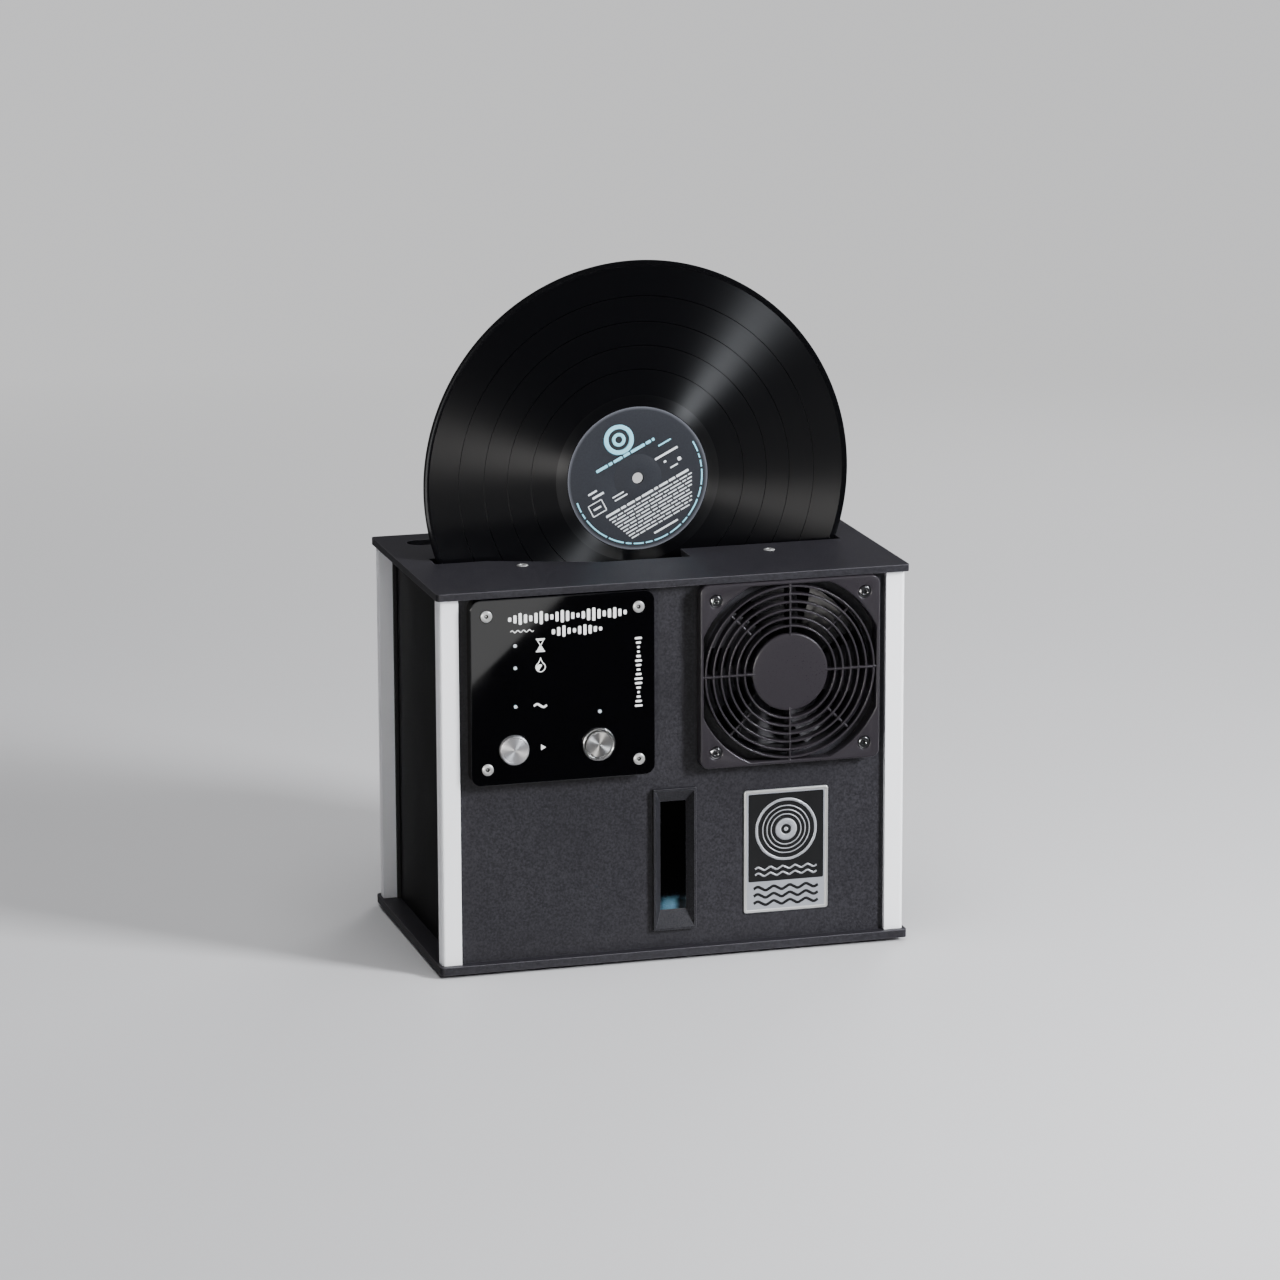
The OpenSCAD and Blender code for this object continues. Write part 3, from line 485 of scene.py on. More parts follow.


# its wide, strong edge colour is mostly a painted highlight along the lid's front edge
powderCoat = grainFinish("powderCoat", {
    "base": tone(28, 27, 31), "fleck": tone(48, 47, 52), "wearAndHighlight": tone(92, 90, 96), "scale": 640, "share": 0.8,
    "rough": 0.5, "spread": 0.2, "edge": 0.9, "gain": 6.0, "bump": 0.5, "depth": 0.2, "gloss": 0.35})
sidePaint = grainFinish("sidePaint", {
    "base": tone(7, 7, 8), "fleck": tone(12, 12, 13), "wearAndHighlight": tone(34, 34, 36), "rough": 0.5, "spread": 0.12,
    "gain": 4.0, "gloss": 0.1})
sealRubber = grainFinish("sealRubber", {
    "base": tone(22, 22, 23), "fleck": tone(38, 38, 38), "wearAndHighlight": tone(52, 52, 52), "rough": 0.78,
    "spread": 0.12, "edge": 0.4, "bump": 0.3, "gloss": 0.3})
rollerRubber = grainFinish("rollerRubber", {
    "base": tone(34, 34, 35), "fleck": tone(50, 50, 51), "wearAndHighlight": tone(66, 66, 66), "scale": 700, "share": 0.6,
    "rough": 0.62, "edge": 0.3, "bump": 0.25, "depth": 0.06, "gloss": 0.35})
guardPlastic = grainFinish("guardPlastic", {
    "base": tone(37, 34, 38), "fleck": tone(48, 45, 49), "wearAndHighlight": tone(92, 89, 94), "scale": 1300, "rough": 0.3,
    "spread": 0.12, "edge": 0.25, "gain": 2.0, "depth": 0.06, "gloss": 0.6})
# mid grey, though the fans are black plastic: a painted sheen for the light the blades catch behind the guard
fanPlasticPaintedSheen = grainFinish("fanPlasticPaintedSheen", {
    "base": tone(66, 65, 68), "fleck": tone(80, 79, 82), "wearAndHighlight": tone(104, 104, 107), "scale": 1300,
    "rough": 0.36, "edge": 0.4, "bump": 0.25, "depth": 0.06, "gloss": 0.4})
windowBlack = grainFinish("windowBlack", {
    "base": tone(22, 22, 25), "fleck": tone(50, 49, 54), "wearAndHighlight": tone(100, 99, 104), "share": 0.7,
    "rough": 0.46, "edge": 0.35, "gain": 3.5, "bump": 0.35, "depth": 0.1, "gloss": 0.35})
basinPlastic = grainFinish("basinPlastic", {
    "base": tone(40, 41, 43), "fleck": tone(56, 57, 59), "wearAndHighlight": tone(80, 80, 82), "rough": 0.48,
    "spread": 0.16, "gloss": 0.4})
gearPlastic = grainFinish("gearPlastic", {
    "base": tone(120, 121, 124), "fleck": tone(142, 143, 146), "wearAndHighlight": tone(160, 160, 162), "scale": 800,
    "rough": 0.5})
spindlePlastic = grainFinish("spindlePlastic", {
    "base": tone(214, 213, 208), "fleck": tone(228, 227, 223), "wearAndHighlight": tone(236, 236, 232), "scale": 700,
    "rough": 0.36, "spread": 0.12, "edge": 0.4, "gain": 2.0, "bump": 0.15, "depth": 0.06})
tankPlastic = grainFinish("tankPlastic", {
    "base": tone(196, 202, 204), "fleck": tone(214, 219, 221), "wearAndHighlight": tone(226, 230, 232), "scale": 300,
    "share": 0.6, "rough": 0.42, "spread": 0.16, "edge": 0.8, "gain": 2.0, "depth": 0.15})
pumpPlastic = grainFinish("pumpPlastic", {
    "base": tone(30, 30, 32), "fleck": tone(44, 44, 46), "wearAndHighlight": tone(66, 66, 68), "scale": 1100, "rough": 0.46,
    "edge": 0.4, "bump": 0.25, "depth": 0.07, "gloss": 0.4})
rockerPlastic = grainFinish("rockerPlastic", {
    "base": tone(24, 24, 25), "fleck": tone(32, 32, 33), "wearAndHighlight": tone(60, 60, 62), "scale": 1500, "share": 0.4,
    "rough": 0.22, "spread": 0.08, "gain": 2.0, "bump": 0.1, "depth": 0.04})
floatFoam = grainFinish("floatFoam", {
    "base": tone(150, 200, 222), "fleck": tone(196, 226, 238), "wearAndHighlight": tone(214, 236, 244), "scale": 1600,
    "share": 0.9, "rough": 0.8, "spread": 0.1, "edge": 0.6, "gain": 2.0, "bump": 0.7, "depth": 0.3})

dress(powderCoat, "lid", "base_plate", "front_panel", "rear_panel")
dress(sidePaint, "side_panel_left", "side_panel_right")
dress(sealRubber, "feet", "panel_seals", "wiper_lips")
dress(rollerRubber, "drive_roller", "support_roller")
dress(guardPlastic, "fan_guard")
dress(fanPlasticPaintedSheen, "fan_front_frame", "fan_front_rotor", "fan_rear_frame", "fan_rear_rotor")
dress(windowBlack, "window_frame")
dress(basinPlastic, "basin", "duct_front", "duct_rear", "wiper_holders")
dress(gearPlastic, "gearbox")
dress(spindlePlastic, "spindle_front_left", "spindle_front_right", "spindle_rear_left", "spindle_rear_right")
dress(tankPlastic, "tank")
dress(pumpPlastic, "pump", "power_inlet", "power_switch", "drain_cap")
dress(rockerPlastic, "power_rocker")
dress(floatFoam, "level_float")


# Finishes of metal parts

def brushedFinish(name, exceptions):
    values = {**usualMetal, **exceptions}
    material = newMaterial(name, {"Metallic": values["metal"]})
    tree, shader = material.node_tree, shaderOf(material)
    lines = placeGroup(material, brushed, chosen(values, "Stretch", "Rough", "Spread"))
    edge = edgesOf(material, values)
    shade = mixColour(tree, lines.outputs["Line"], values["base"], values["bright"])
    # edges take the wearAndHighlight colour: wear, and a painted highlight along them
    feed(tree, shader.inputs["Base Color"], mixColour(tree, edge.outputs["Edge"], shade, values["wearAndHighlight"]))
    feed(tree, shader.inputs["Roughness"], lines.outputs["Roughness"])
    feed(tree, shader.inputs["Normal"],
         bump(tree, lines.outputs["Line"], values["bump"], values["depth"] * mm, edge.outputs["Normal"]))
    return material


# near white and hardly metal: the whiteness is a painted reflection of bright light on the aluminium posts
aluminiumWithPaintedSheen = brushedFinish("aluminiumWithPaintedSheen", {
    "metal": 0.05, "stretch": (5200, 5200, 26), "base": tone(248, 249, 252), "bright": tone(254, 254, 255),
    "wearAndHighlight": tone(254, 254, 255), "rough": 0.42, "edge": 0.4, "gain": 2.0, "bump": 0.1})
badgeMetal = brushedFinish("badgeMetal", {
    "metal": 0.5, "stretch": (40, 4200, 4200), "base": tone(166, 170, 178), "bright": tone(196, 199, 206),
    "wearAndHighlight": tone(246, 247, 250), "rough": 0.34, "edge": 0.35, "gain": 4.0, "bump": 0.15})
polishedSteel = brushedFinish("polishedSteel", {
    "metal": 1.0, "stretch": (900, 900, 900), "base": tone(208, 208, 210), "bright": tone(232, 232, 233),
    "wearAndHighlight": tone(250, 250, 250), "rough": 0.16, "edge": 0.25, "gain": 2.0, "depth": 0.03})
# whiter and less metal than steel: a painted sheen that keeps these heads bright
screwSteelPaintedSheen = brushedFinish("screwSteelPaintedSheen", {
    "metal": 0.8, "stretch": (900, 900, 900), "base": tone(236, 236, 234), "bright": tone(250, 250, 248),
    "wearAndHighlight": tone(254, 254, 254), "rough": 0.36, "edge": 0.15, "gain": 1.0, "depth": 0.03})
socketShade = brushedFinish("socketShade", {
    "metal": 0.6, "stretch": (900, 900, 900), "base": tone(26, 26, 27), "bright": tone(40, 40, 42),
    "wearAndHighlight": tone(60, 60, 62), "rough": 0.5, "spread": 0.1, "edge": 0.1, "gain": 1.0, "depth": 0.02})
wireSteel = brushedFinish("wireSteel", {
    "metal": 1.0, "stretch": (700, 700, 700), "base": tone(200, 200, 203), "bright": tone(224, 224, 226),
    "wearAndHighlight": tone(240, 240, 240), "rough": 0.2, "spread": 0.14, "edge": 0.2, "gain": 1.0, "bump": 0.08})
motorSteel = brushedFinish("motorSteel", {
    "metal": 0.95, "stretch": (300, 3600, 300), "base": tone(176, 176, 178), "bright": tone(202, 202, 204),
    "wearAndHighlight": tone(226, 226, 227), "rough": 0.36, "spread": 0.16, "edge": 0.4, "gain": 2.0, "bump": 0.12,
    "depth": 0.05})
supplyMetal = brushedFinish("supplyMetal", {
    "metal": 0.9, "stretch": (120, 2600, 2600), "base": tone(160, 161, 164), "bright": tone(184, 185, 188),
    "wearAndHighlight": tone(214, 214, 216), "rough": 0.42, "spread": 0.14, "edge": 0.4, "gain": 2.5, "bump": 0.12,
    "depth": 0.05})

dress(aluminiumWithPaintedSheen, "post_front_left", "post_front_right", "post_rear_left", "post_rear_right")
dress(badgeMetal, "badge")
dress(polishedSteel, "rear_guard_screws")
dress(wireSteel, "rear_guard")
dress(motorSteel, "barrel_motor", "record_motor", "transducer")
dress(supplyMetal, "power_supply")


def turnedFinish(name, values):   # a face turned on a lathe: rings, and a bow-tie of light
    material = newMaterial(name, {"Metallic": values["metal"], "Anisotropic": values["pull"],
                                  "Anisotropic Rotation": values["lay"]})
    tree, shader = material.node_tree, shaderOf(material)
    rings = placeGroup(material, turned, chosen(values, "Centre", "Density", "Rough", "Spread"))
    feed(tree, shader.inputs["Base Color"],
         mixColour(tree, rings.outputs["Ring"], values["base"], values["bright"]))
    feed(tree, shader.inputs["Roughness"], rings.outputs["Roughness"])
    edge = edgesOf(material, values)
    feed(tree, shader.inputs["Normal"],
         bump(tree, rings.outputs["Ring"], 0.15, 0.03 * mm, edge.outputs["Normal"]))
    radialTangent(tree, shader)
    return material


def middleOf(node):
    low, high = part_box(node)
    return (low + high) / 2


def glossFinish(name, values):
    material = newMaterial(name, values["plain"])
    tree, shader = material.node_tree, shaderOf(material)
    film = placeGroup(material, handled, {"Scale": values["scale"], "Amount": values["film"]})
    edge = edgesOf(material, values)
    # edges take the wearAndHighlight colour: wear, and a painted highlight along them
    feed(tree, shader.inputs["Base Color"], mixColour(tree, edge.outputs["Edge"], values["base"], values["wearAndHighlight"]))
    feed(tree, shader.inputs["Roughness"], calc(tree, "ADD", film.outputs["Film"], values["rough"]))
    feed(tree, shader.inputs["Normal"], edge.outputs["Normal"])
    return material


glossPlate = glossFinish("glossPlate", {
    "base": tone(2, 2, 3), "wearAndHighlight": tone(58, 58, 62), "rough": 0.03, "scale": 28, "film": 0.03, "edge": 1.0,
    "gain": 1.2, "plain": {"Specular IOR Level": 0.5}})
clearLens = glossFinish("clearLens", {
    "base": tone(214, 218, 222), "wearAndHighlight": tone(240, 242, 244), "rough": 0.12, "scale": 200, "film": 0.05,
    "edge": 0.3, "gain": 1.0, "plain": {"Subsurface Weight": 0.2, "Coat Weight": 0.4}})
dress(glossPlate, "control_plate")
dress(clearLens, "led_lenses")


def makeWindowGlass():   # tinted almost black above the foot, a painted shade standing for the dark inside behind it, and clear pale blue at its foot, where the float shows
    values = {"clear": tone(214, 234, 244), "shadeTint": tone(3, 3, 4), "clearBelow": 38, "shadeTintAbove": 47}
    material = newMaterial("windowGlass", {"Transmission Weight": 1.0, "IOR": 1.45, "Specular IOR Level": 0.05})
    tree, shader = material.node_tree, shaderOf(material)
    place = objectPlace(tree)
    height = addNode(tree, "ShaderNodeSeparateXYZ", {}, {0: place}).outputs["Z"]
    level = calc(tree, "MULTIPLY_ADD", noise(tree, place, 420.0, 3.0), 3 * mm, height)
    share = remap(tree, level, values["clearBelow"] * mm, values["shadeTintAbove"] * mm, 0, 1)
    feed(tree, shader.inputs["Base Color"], mixColour(tree, share, values["clear"], values["shadeTint"]))
    film = placeGroup(material, handled, {"Scale": 40.0, "Amount": 0.05})
    feed(tree, shader.inputs["Roughness"], calc(tree, "ADD", film.outputs["Film"], 0.03))
    return material


dress(makeWindowGlass(), "window_pane")


def makeBoardFinish():
    values = {"mask": tone(24, 92, 58), "track": tone(40, 118, 76), "scale": 420}
    material = newMaterial("boardGreen", {"Specular IOR Level": 0.5})
    tree, shader = material.node_tree, shaderOf(material)
    upright = addNode(tree, "ShaderNodeMapping", {}, {"Vector": objectPlace(tree), "Rotation": frontTurn})
    bricks = addNode(tree, "ShaderNodeTexBrick", {}, {
        "Vector": upright.outputs[0], "Color1": values["mask"], "Color2": values["track"],
        "Mortar": values["track"], "Scale": values["scale"], "Mortar Size": 0.08})
    feed(tree, shader.inputs["Base Color"], bricks.outputs["Color"])
    grain = placeGroup(material, fineGrain, {"Scale": 900, "Rough": 0.34, "Spread": 0.14})
    feed(tree, shader.inputs["Roughness"], grain.outputs["Roughness"])
    feed(tree, shader.inputs["Normal"], bump(tree, bricks.outputs["Fac"], 0.2, 0.05 * mm))
    return material


dress(makeBoardFinish(), "control_board")
print("stage: finishes on the carried-over parts")


# Helpers for shapes

faceFront = Matrix.Rotation(math.pi / 2, 4, "X")   # a piece modelled upwards is turned to the front
faceDown = Matrix.Rotation(math.pi, 4, "X")
faceUp = Matrix.Identity(4)
corners = [(x, z) for x in (-1, 1) for z in (-1, 1)]


def addBlock(name, low, high):
    low, high = Vector(low) * mm, Vector(high) * mm
    bpy.ops.mesh.primitive_cube_add(size=1, location=(low + high) / 2)
    piece = nameNew(name)
    piece.scale = high - low
    bakePlace(piece)
    return piece


def addRod(name, radius, low, high, sides, ends="NGON"):
    bpy.ops.mesh.primitive_cylinder_add(vertices=sides, radius=radius * mm, depth=(high - low) * mm,
                                        location=(0, 0, (low + high) / 2 * mm), end_fill_type=ends)
    piece = nameNew(name)
    bakePlace(piece)
    return piece


def insetSteps(steps):   # width and rise of each inset of the picked face
    for width, rise in steps:
        bpy.ops.mesh.inset(thickness=width * mm, depth=rise * mm)


def roundEdges(piece, width, segments=3):
    applyModifier(piece, "BEVEL", {
        "width": width * mm, "segments": segments, "limit_method": "ANGLE", "angle_limit": math.radians(35)})


# Fan guard: deep rounded rings on spokes, in a square frame; modelled upwards from the wall

guard = {
    "middle": (79.5, -88.5, 196.5),
    "half": 63.5,
    "corner": 6.0,
    "thick": 10.0,
    "opening": 67.0,
    "flat": 61.0,
    "lip": 0.9,
    "seat": (52.5, 4.3),         # place and radius of the screws' seats
    "rings": [32.0, 37.5, 43.0, 48.5, 54.0, 59.5],
    "wide": 1.4,
    "ringSpan": (2.0, 9.6),
    "spokeSpan": (3.5, 9.6),
    "finSpan": (-2.8, 4.0, 56.0),   # the upright spokes reach deeper, inside this radius
    "rod": (1.0, 6.6),           # radius and height of the diagonal rods
    "hub": 26.8,
    "hubSpan": (4.5, 9.2),
    "hubSteps": [(2.0, 0.16), (5.0, 0.22), (7.0, 0.16), (7.0, 0.06)],
}


def makeGuardFrame():
    half, thick = guard["half"], guard["thick"]
    piece = addBlock("guard_frame", (-half, -half, 0), (half, half, thick))
    openEdit(piece)
    pickEdges(piece, lambda a, b: abs(a.z - b.z) > 5 * mm)
    bpy.ops.mesh.bevel(offset=guard["corner"] * mm, segments=8)
    closeEdit()
    cutter = addRod("cutter", guard["opening"], -5, 15, 128)
    openEdit(cutter)
    for x, y in ((1, 0), (-1, 0), (0, 1), (0, -1)):
        bpy.ops.mesh.select_all(action="SELECT")
        away = Vector((x, y, 0))
        bpy.ops.mesh.bisect(plane_co=away * guard["flat"] * mm, plane_no=away, use_fill=True, clear_outer=True)
    closeEdit()
    cutters = [cutter]
    place, radius = guard["seat"]
    for x, y in corners:
        seat = addRod("cutter", radius, thick - 2.2, thick + 2, 36)
        seat.data.transform(Matrix.Translation((x * place * mm, y * place * mm, 0)))
        cutters.append(seat)
    cutter = joinPieces(cutters, "cutter")
    applyModifier(piece, "BOOLEAN", {"operation": "DIFFERENCE", "object": cutter, "solver": "EXACT"})
    bpy.data.objects.remove(cutter)
    roundEdges(piece, guard["lip"])
    return piece


def makeGuard():
    parts = [makeGuardFrame()]
    wide = guard["wide"]
    for radius in guard["rings"]:
        ring = addRod("guard_ring", radius, *guard["ringSpan"], 120, "NOTHING")
        applyModifier(ring, "SOLIDIFY", {"thickness": wide * mm, "offset": 0})
        roundEdges(ring, 0.45)
        parts.append(ring)
    inner, outer = guard["hub"] - 2, guard["flat"] + 0.5
    for quarter in range(4):
        low, high = guard["spokeSpan"]
        spoke = addBlock("guard_spoke", (inner, -wide / 2, low), (outer, wide / 2, high))
        roundEdges(spoke, 0.4)
        pieces = [spoke]
        if quarter % 2:
            low, high, reach = guard["finSpan"]
            pieces.append(addBlock("guard_spoke", (inner, -wide / 2, low), (reach, wide / 2, high)))
        rod = addRod("guard_rod", guard["rod"][0], guard["rings"][1] - 0.5, guard["rings"][-1] + 0.5, 16)
        rod.data.transform(Matrix.Rotation(math.pi / 2, 4, "Y"))
        rod.data.transform(Matrix.Translation((0, 0, guard["rod"][1] * mm)) @ Matrix.Rotation(math.pi / 4, 4, "Z"))
        pieces.append(rod)
        for piece in pieces:
            piece.data.transform(Matrix.Rotation(math.pi / 2 * quarter, 4, "Z"))
        parts += pieces
    hub = addRod("guard_hub", guard["hub"], *guard["hubSpan"], 96)
    openEdit(hub)
    pickFaces(hub, lambda middle, normal: normal.z > 0.9)
    insetSteps(guard["hubSteps"])
    closeEdit()
    roundEdges(hub, 1.0, 4)
    piece = joinPieces(parts + [hub], "guard_grille")
    piece.data.transform(Matrix.Translation(Vector(guard["middle"]) * mm) @ faceFront)
    smoothUpTo(piece, 32)
    return piece


guardGrille = finishPiece(makeGuard(), guardPlastic, "case")
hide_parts("fan_guard")
print("stage: fan guard")


# Buttons: a turned cap with a polished rim, and the right one's bezel

button = {
    "start_button": {"body": "start", "lip": 0.7,
                     "crown": [(1.3, 0.05), (0.2, -0.3), (0.4, 0), (0.2, 0.2), (3, 0.1)],   # inset and rise
                     "metal": 1.0, "base": tone(226, 226, 230), "bright": tone(252, 252, 254), "rough": 0.5,
                     "pull": 0.75, "lay": 0.25},
    "mode_button": {"body": "mode", "lip": 0.5,
                    "crown": [(0.5, 0), (0.15, -0.2), (0.3, 0), (0.15, 0.12), (3, 0.05)],
                    "metal": 1.0, "base": tone(186, 184, 182), "bright": tone(232, 232, 232), "rough": 0.5,
                    "pull": 0.9, "lay": 0.0},
    "mode_bezel": {"body": "case", "lip": 0.8, "back": 94.5, "crown": [(1.9, 0), (0.01, -2.6)], "metal": 1.0,
                   "base": tone(214, 213, 212), "bright": tone(244, 244, 244), "rough": 0.24, "pull": 0.3,
                   "lay": 0.25},
}


def makeButton(node):
    values = button[node]
    low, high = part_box(node)
    middle = (low + high) / 2
    back = max(-high.y / mm, values.get("back", 0))
    piece = addRod(node + "_cap", (high.x - low.x) / 2 / mm, back, -low.y / mm, 96)
    openEdit(piece)
    top = -low.y
    pickFaces(piece, lambda centre, normal: normal.z > 0.9)
    insetSteps(values["crown"])
    pickEdges(piece, lambda a, b: abs(a.z - top) < 1e-6 and abs(b.z - top) < 1e-6
              and abs(a.xy.length - b.xy.length) < 1e-5)
    bpy.ops.mesh.bevel(offset=values["lip"] * mm, segments=4)
    closeEdit()
    piece.data.transform(Matrix.Translation((middle.x, 0, middle.z)) @ faceFront)
    smoothUpTo(piece, 30)
    finish = turnedFinish("turned." + node, {
        "centre": middle, "density": 9000, "spread": 0.12, "edge": 0.12, "gain": 1.0, **values})
    finishPiece(piece, finish, values["body"])
    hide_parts(node)


for nodeName in button:
    makeButton(nodeName)
print("stage: buttons")


# Countersunk socket screws: one is modelled for each length and copied into every hole

screw = {
    "head": 4.0,
    "sink": 2.2,
    "shank": 2.0,
    "crown": [(0.15, 0.25), (0.5, 0.28), (0.7, 0.12), (0.7, 0.03), (0.15, -0.45), (0.25, -0.02)],
    "socketRound": 1.55,
    "flats": 1.3,       # half the width across the socket's flats
    "socketDeep": 1.2,
    "fanPitch": 52.5,   # half the square pitch of both front plates
    "lid": (87.5, 29.2),
    "post": (156.25, 87.0),
}


def makeScrew(length):
    bpy.ops.mesh.primitive_cylinder_add(vertices=36, radius=screw["shank"] * mm, depth=length * mm,
                                        location=(0, 0, -length / 2 * mm))
    piece = nameNew("screw")
    bakePlace(piece)
    openEdit(piece)
    pickFaces(piece, lambda middle, normal: normal.z > 0.9)
    bpy.ops.transform.translate(value=(0, 0, -screw["sink"] * mm))
    bpy.ops.mesh.extrude_region_move(TRANSFORM_OT_translate={"value": (0, 0, (screw["sink"] - 0.3) * mm)})
    grow = screw["head"] / screw["shank"]
    bpy.ops.transform.resize(value=(grow, grow, 1))
    bpy.ops.mesh.extrude_region_move(TRANSFORM_OT_translate={"value": (0, 0, 0.3 * mm)})
    insetSteps(screw["crown"])
    low = sum(rise for width, rise in screw["crown"]) * mm
    for apart in (0, 10, 20, 30):   # the innermost circle is drawn into a hexagon
        def atAngle(point):
            angle = math.degrees(math.atan2(point.y, point.x))
            off = abs((angle + 30) % 60 - 30)
            return abs(point.z - low) < 0.02 * mm and point.xy.length < 1.7 * mm and abs(off - apart) < 2
        pickPoints(piece, atAngle)
        reach = screw["flats"] / math.cos(math.radians(apart)) / screw["socketRound"]
        bpy.ops.transform.resize(value=(reach, reach, 1))
    pickFaces(piece, lambda middle, normal: normal.z > 0.9 and middle.xy.length < 0.3 * mm
              and abs(middle.z - low) < 0.05 * mm)
    bpy.ops.mesh.extrude_region_move(TRANSFORM_OT_translate={"value": (0, 0, -screw["socketDeep"] * mm)})
    insetSteps([(0.7, -0.1)])
    closeEdit()
    smoothUpTo(piece, 50)
    for face in piece.data.polygons:   # the socket is dark but for the middle of its floor
        middle = face.center
        if 0.2 * mm < middle.xy.length < 1.5 * mm and -2 * mm < middle.z - low < -0.1 * mm:
            face.material_index = 1
    return piece


def setScrews(name, length, seats, finish):   # seats: place of the head's face, and how it is turned
    master = makeScrew(length)
    master.data.materials.append(finish)
    master.data.materials.append(socketShade)
    copies = []
    for index, (place, turned90) in enumerate(seats):
        twin = copyOf(master, name)
        spin = Matrix.Rotation(0.4 + index * 0.7, 4, "Z")   # no two sockets stand alike
        twin.data.transform(Matrix.Translation(Vector(place) * mm) @ turned90 @ spin)
        copies.append(twin)
    bpy.data.objects.remove(master)
    return joinPieces(copies, name)


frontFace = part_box("control_plate")[0].y / mm


def aroundPlate(centre):
    pitch, height = screw["fanPitch"], guard["middle"][2]
    return [((centre + x * pitch, frontFace, height + z * pitch), faceFront) for x, z in corners]


lidX, lidY = screw["lid"]
postX, postY = screw["post"]
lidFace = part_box("lid")[1].z / mm
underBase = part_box("base_plate")[0].z / mm
caseSeats = [((x * lidX, 5.7 + y * lidY, lidFace), faceUp) for x, y in corners]
caseSeats += [((x * postX, y * postY, underBase), faceDown) for x, y in corners]
for nodeName, length, seats, finish in (
        ("control_screws", 16, aroundPlate(-79.5), screwSteelPaintedSheen), ("case_screws", 12, caseSeats, screwSteelPaintedSheen),
        ("guard_screws", 36, aroundPlate(79.5), polishedSteel)):
    screws = setScrews(nodeName + "_socket", length, seats, finish)
    finishPiece(screws, None, "case")
    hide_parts(nodeName)
print("stage: screws")


# The record: a pressed disc with a raised rim, groove bands, run-out and label land

disc = {
    "centre": Vector((2.0, 5.7, 314.8)) * mm,
    "radius": 150.8,
    "thickness": 2.0,
    "sides": 256,
    "rimRound": 0.7,
    "steps": [   # inset width and rise, from the rim inwards
        (2.0, 0), (1.2, -0.25), (88.9, 0), (2.9, 0.25), (4.9, 0), (0.15, -0.2), (46.2, 0)],
    "bands": [75.5, 92.0, 108.5, 126.0],   # radii of the gaps between pieces of music
}


def makeDisc():
    bpy.ops.mesh.primitive_cylinder_add(vertices=disc["sides"], radius=disc["radius"] * mm,
                                        depth=disc["thickness"] * mm, location=disc["centre"], rotation=frontTurn)
    piece = nameNew("record_disc")
    openEdit(piece)
    half = disc["thickness"] * mm / 2
    pickEdges(piece, lambda a, b: abs(a.z - b.z) < 1e-7 and abs(abs(a.z) - half) < 1e-6)
    bpy.ops.mesh.bevel(offset=disc["rimRound"] * mm, segments=4, profile=0.5)
    for side in (1, -1):
        pickFaces(piece, lambda middle, normal: normal.z * side > 0.9 and middle.xy.length < 1 * mm)
        insetSteps(disc["steps"])
    pickFaces(piece, lambda middle, normal: middle.xy.length < 0.5 * mm)
    bpy.ops.mesh.delete(type="ONLY_FACE")
    pickEdges(piece, lambda a, b: a.xy.length < 4.6 * mm and b.xy.length < 4.6 * mm and abs(a.z - b.z) < 1e-7)
    bpy.ops.mesh.bridge_edge_loops()
    closeEdit()
    smoothUpTo(piece, 20)
    bakePlace(piece)
    return piece


def makeVinyl(name, values):
    material = newMaterial(name, values["plain"])
    tree, shader = material.node_tree, shaderOf(material)
    rings = placeGroup(material, turned,
                       {"Centre": disc["centre"], **chosen(values, "Density", "Rough", "Spread")})
    tint = mixColour(tree, rings.outputs["Ring"], values["base"], values["bright"])
    rough = rings.outputs["Roughness"]
    if values["banded"]:
        share = calc(tree, "DIVIDE", rings.outputs["Radius"], disc["radius"] * mm)
        ramp = addNode(tree, "ShaderNodeValToRGB", {}, {"Fac": share})
        ramp.color_ramp.interpolation = "CONSTANT"
        stops = ramp.color_ramp.elements
        stops.remove(stops[1])
        stops[0].color = (0, 0, 0, 1)
        for radius in disc["bands"]:
            stops.new((radius - 0.4) / disc["radius"]).color = (1, 1, 1, 1)
            stops.new((radius + 0.4) / disc["radius"]).color = (0, 0, 0, 1)
        gap = ramp.outputs["Color"]
        tint = mixColour(tree, gap, tint, values["gap"])
        rough = calc(tree, "SUBTRACT", rough, calc(tree, "MULTIPLY", gap, 0.14))
    feed(tree, shader.inputs["Base Color"], tint)
    film = placeGroup(material, handled, {"Scale": 16.0, "Amount": values["film"]})
    feed(tree, shader.inputs["Roughness"], calc(tree, "ADD", rough, film.outputs["Film"]))
    feed(tree, shader.inputs["Normal"], bump(tree, rings.outputs["Ring"], values["bump"], 0.02 * mm))
    if values["plain"].get("Anisotropic"):
        radialTangent(tree, shader)
    return material


grooved = makeVinyl("vinylGrooved", {
    "base": tone(3, 3, 4), "bright": tone(9, 9, 11), "gap": tone(2, 2, 3), "density": 5200, "rough": 0.34,
    "spread": 0.10, "film": 0.01, "bump": 0.3, "banded": True,
    "plain": {"Specular IOR Level": 0.35, "Anisotropic": 1.0, "Anisotropic Rotation": 0.25}})
runOut = makeVinyl("vinylRunOut", {
    "base": tone(3, 3, 4), "bright": tone(8, 8, 10), "gap": tone(2, 2, 3), "density": 900, "rough": 0.30,
    "spread": 0.1, "film": 0.02, "bump": 0.2, "banded": False,
    "plain": {"Specular IOR Level": 0.6, "Anisotropic": 0.96, "Anisotropic Rotation": 0.25}})
smoothVinyl = makeVinyl("vinylSmooth", {
    "base": tone(3, 3, 4), "bright": tone(7, 7, 9), "gap": tone(2, 2, 3), "density": 1500, "rough": 0.16,
    "spread": 0.06, "film": 0.05, "bump": 0.06, "banded": False, "plain": {"Specular IOR Level": 0.7}})

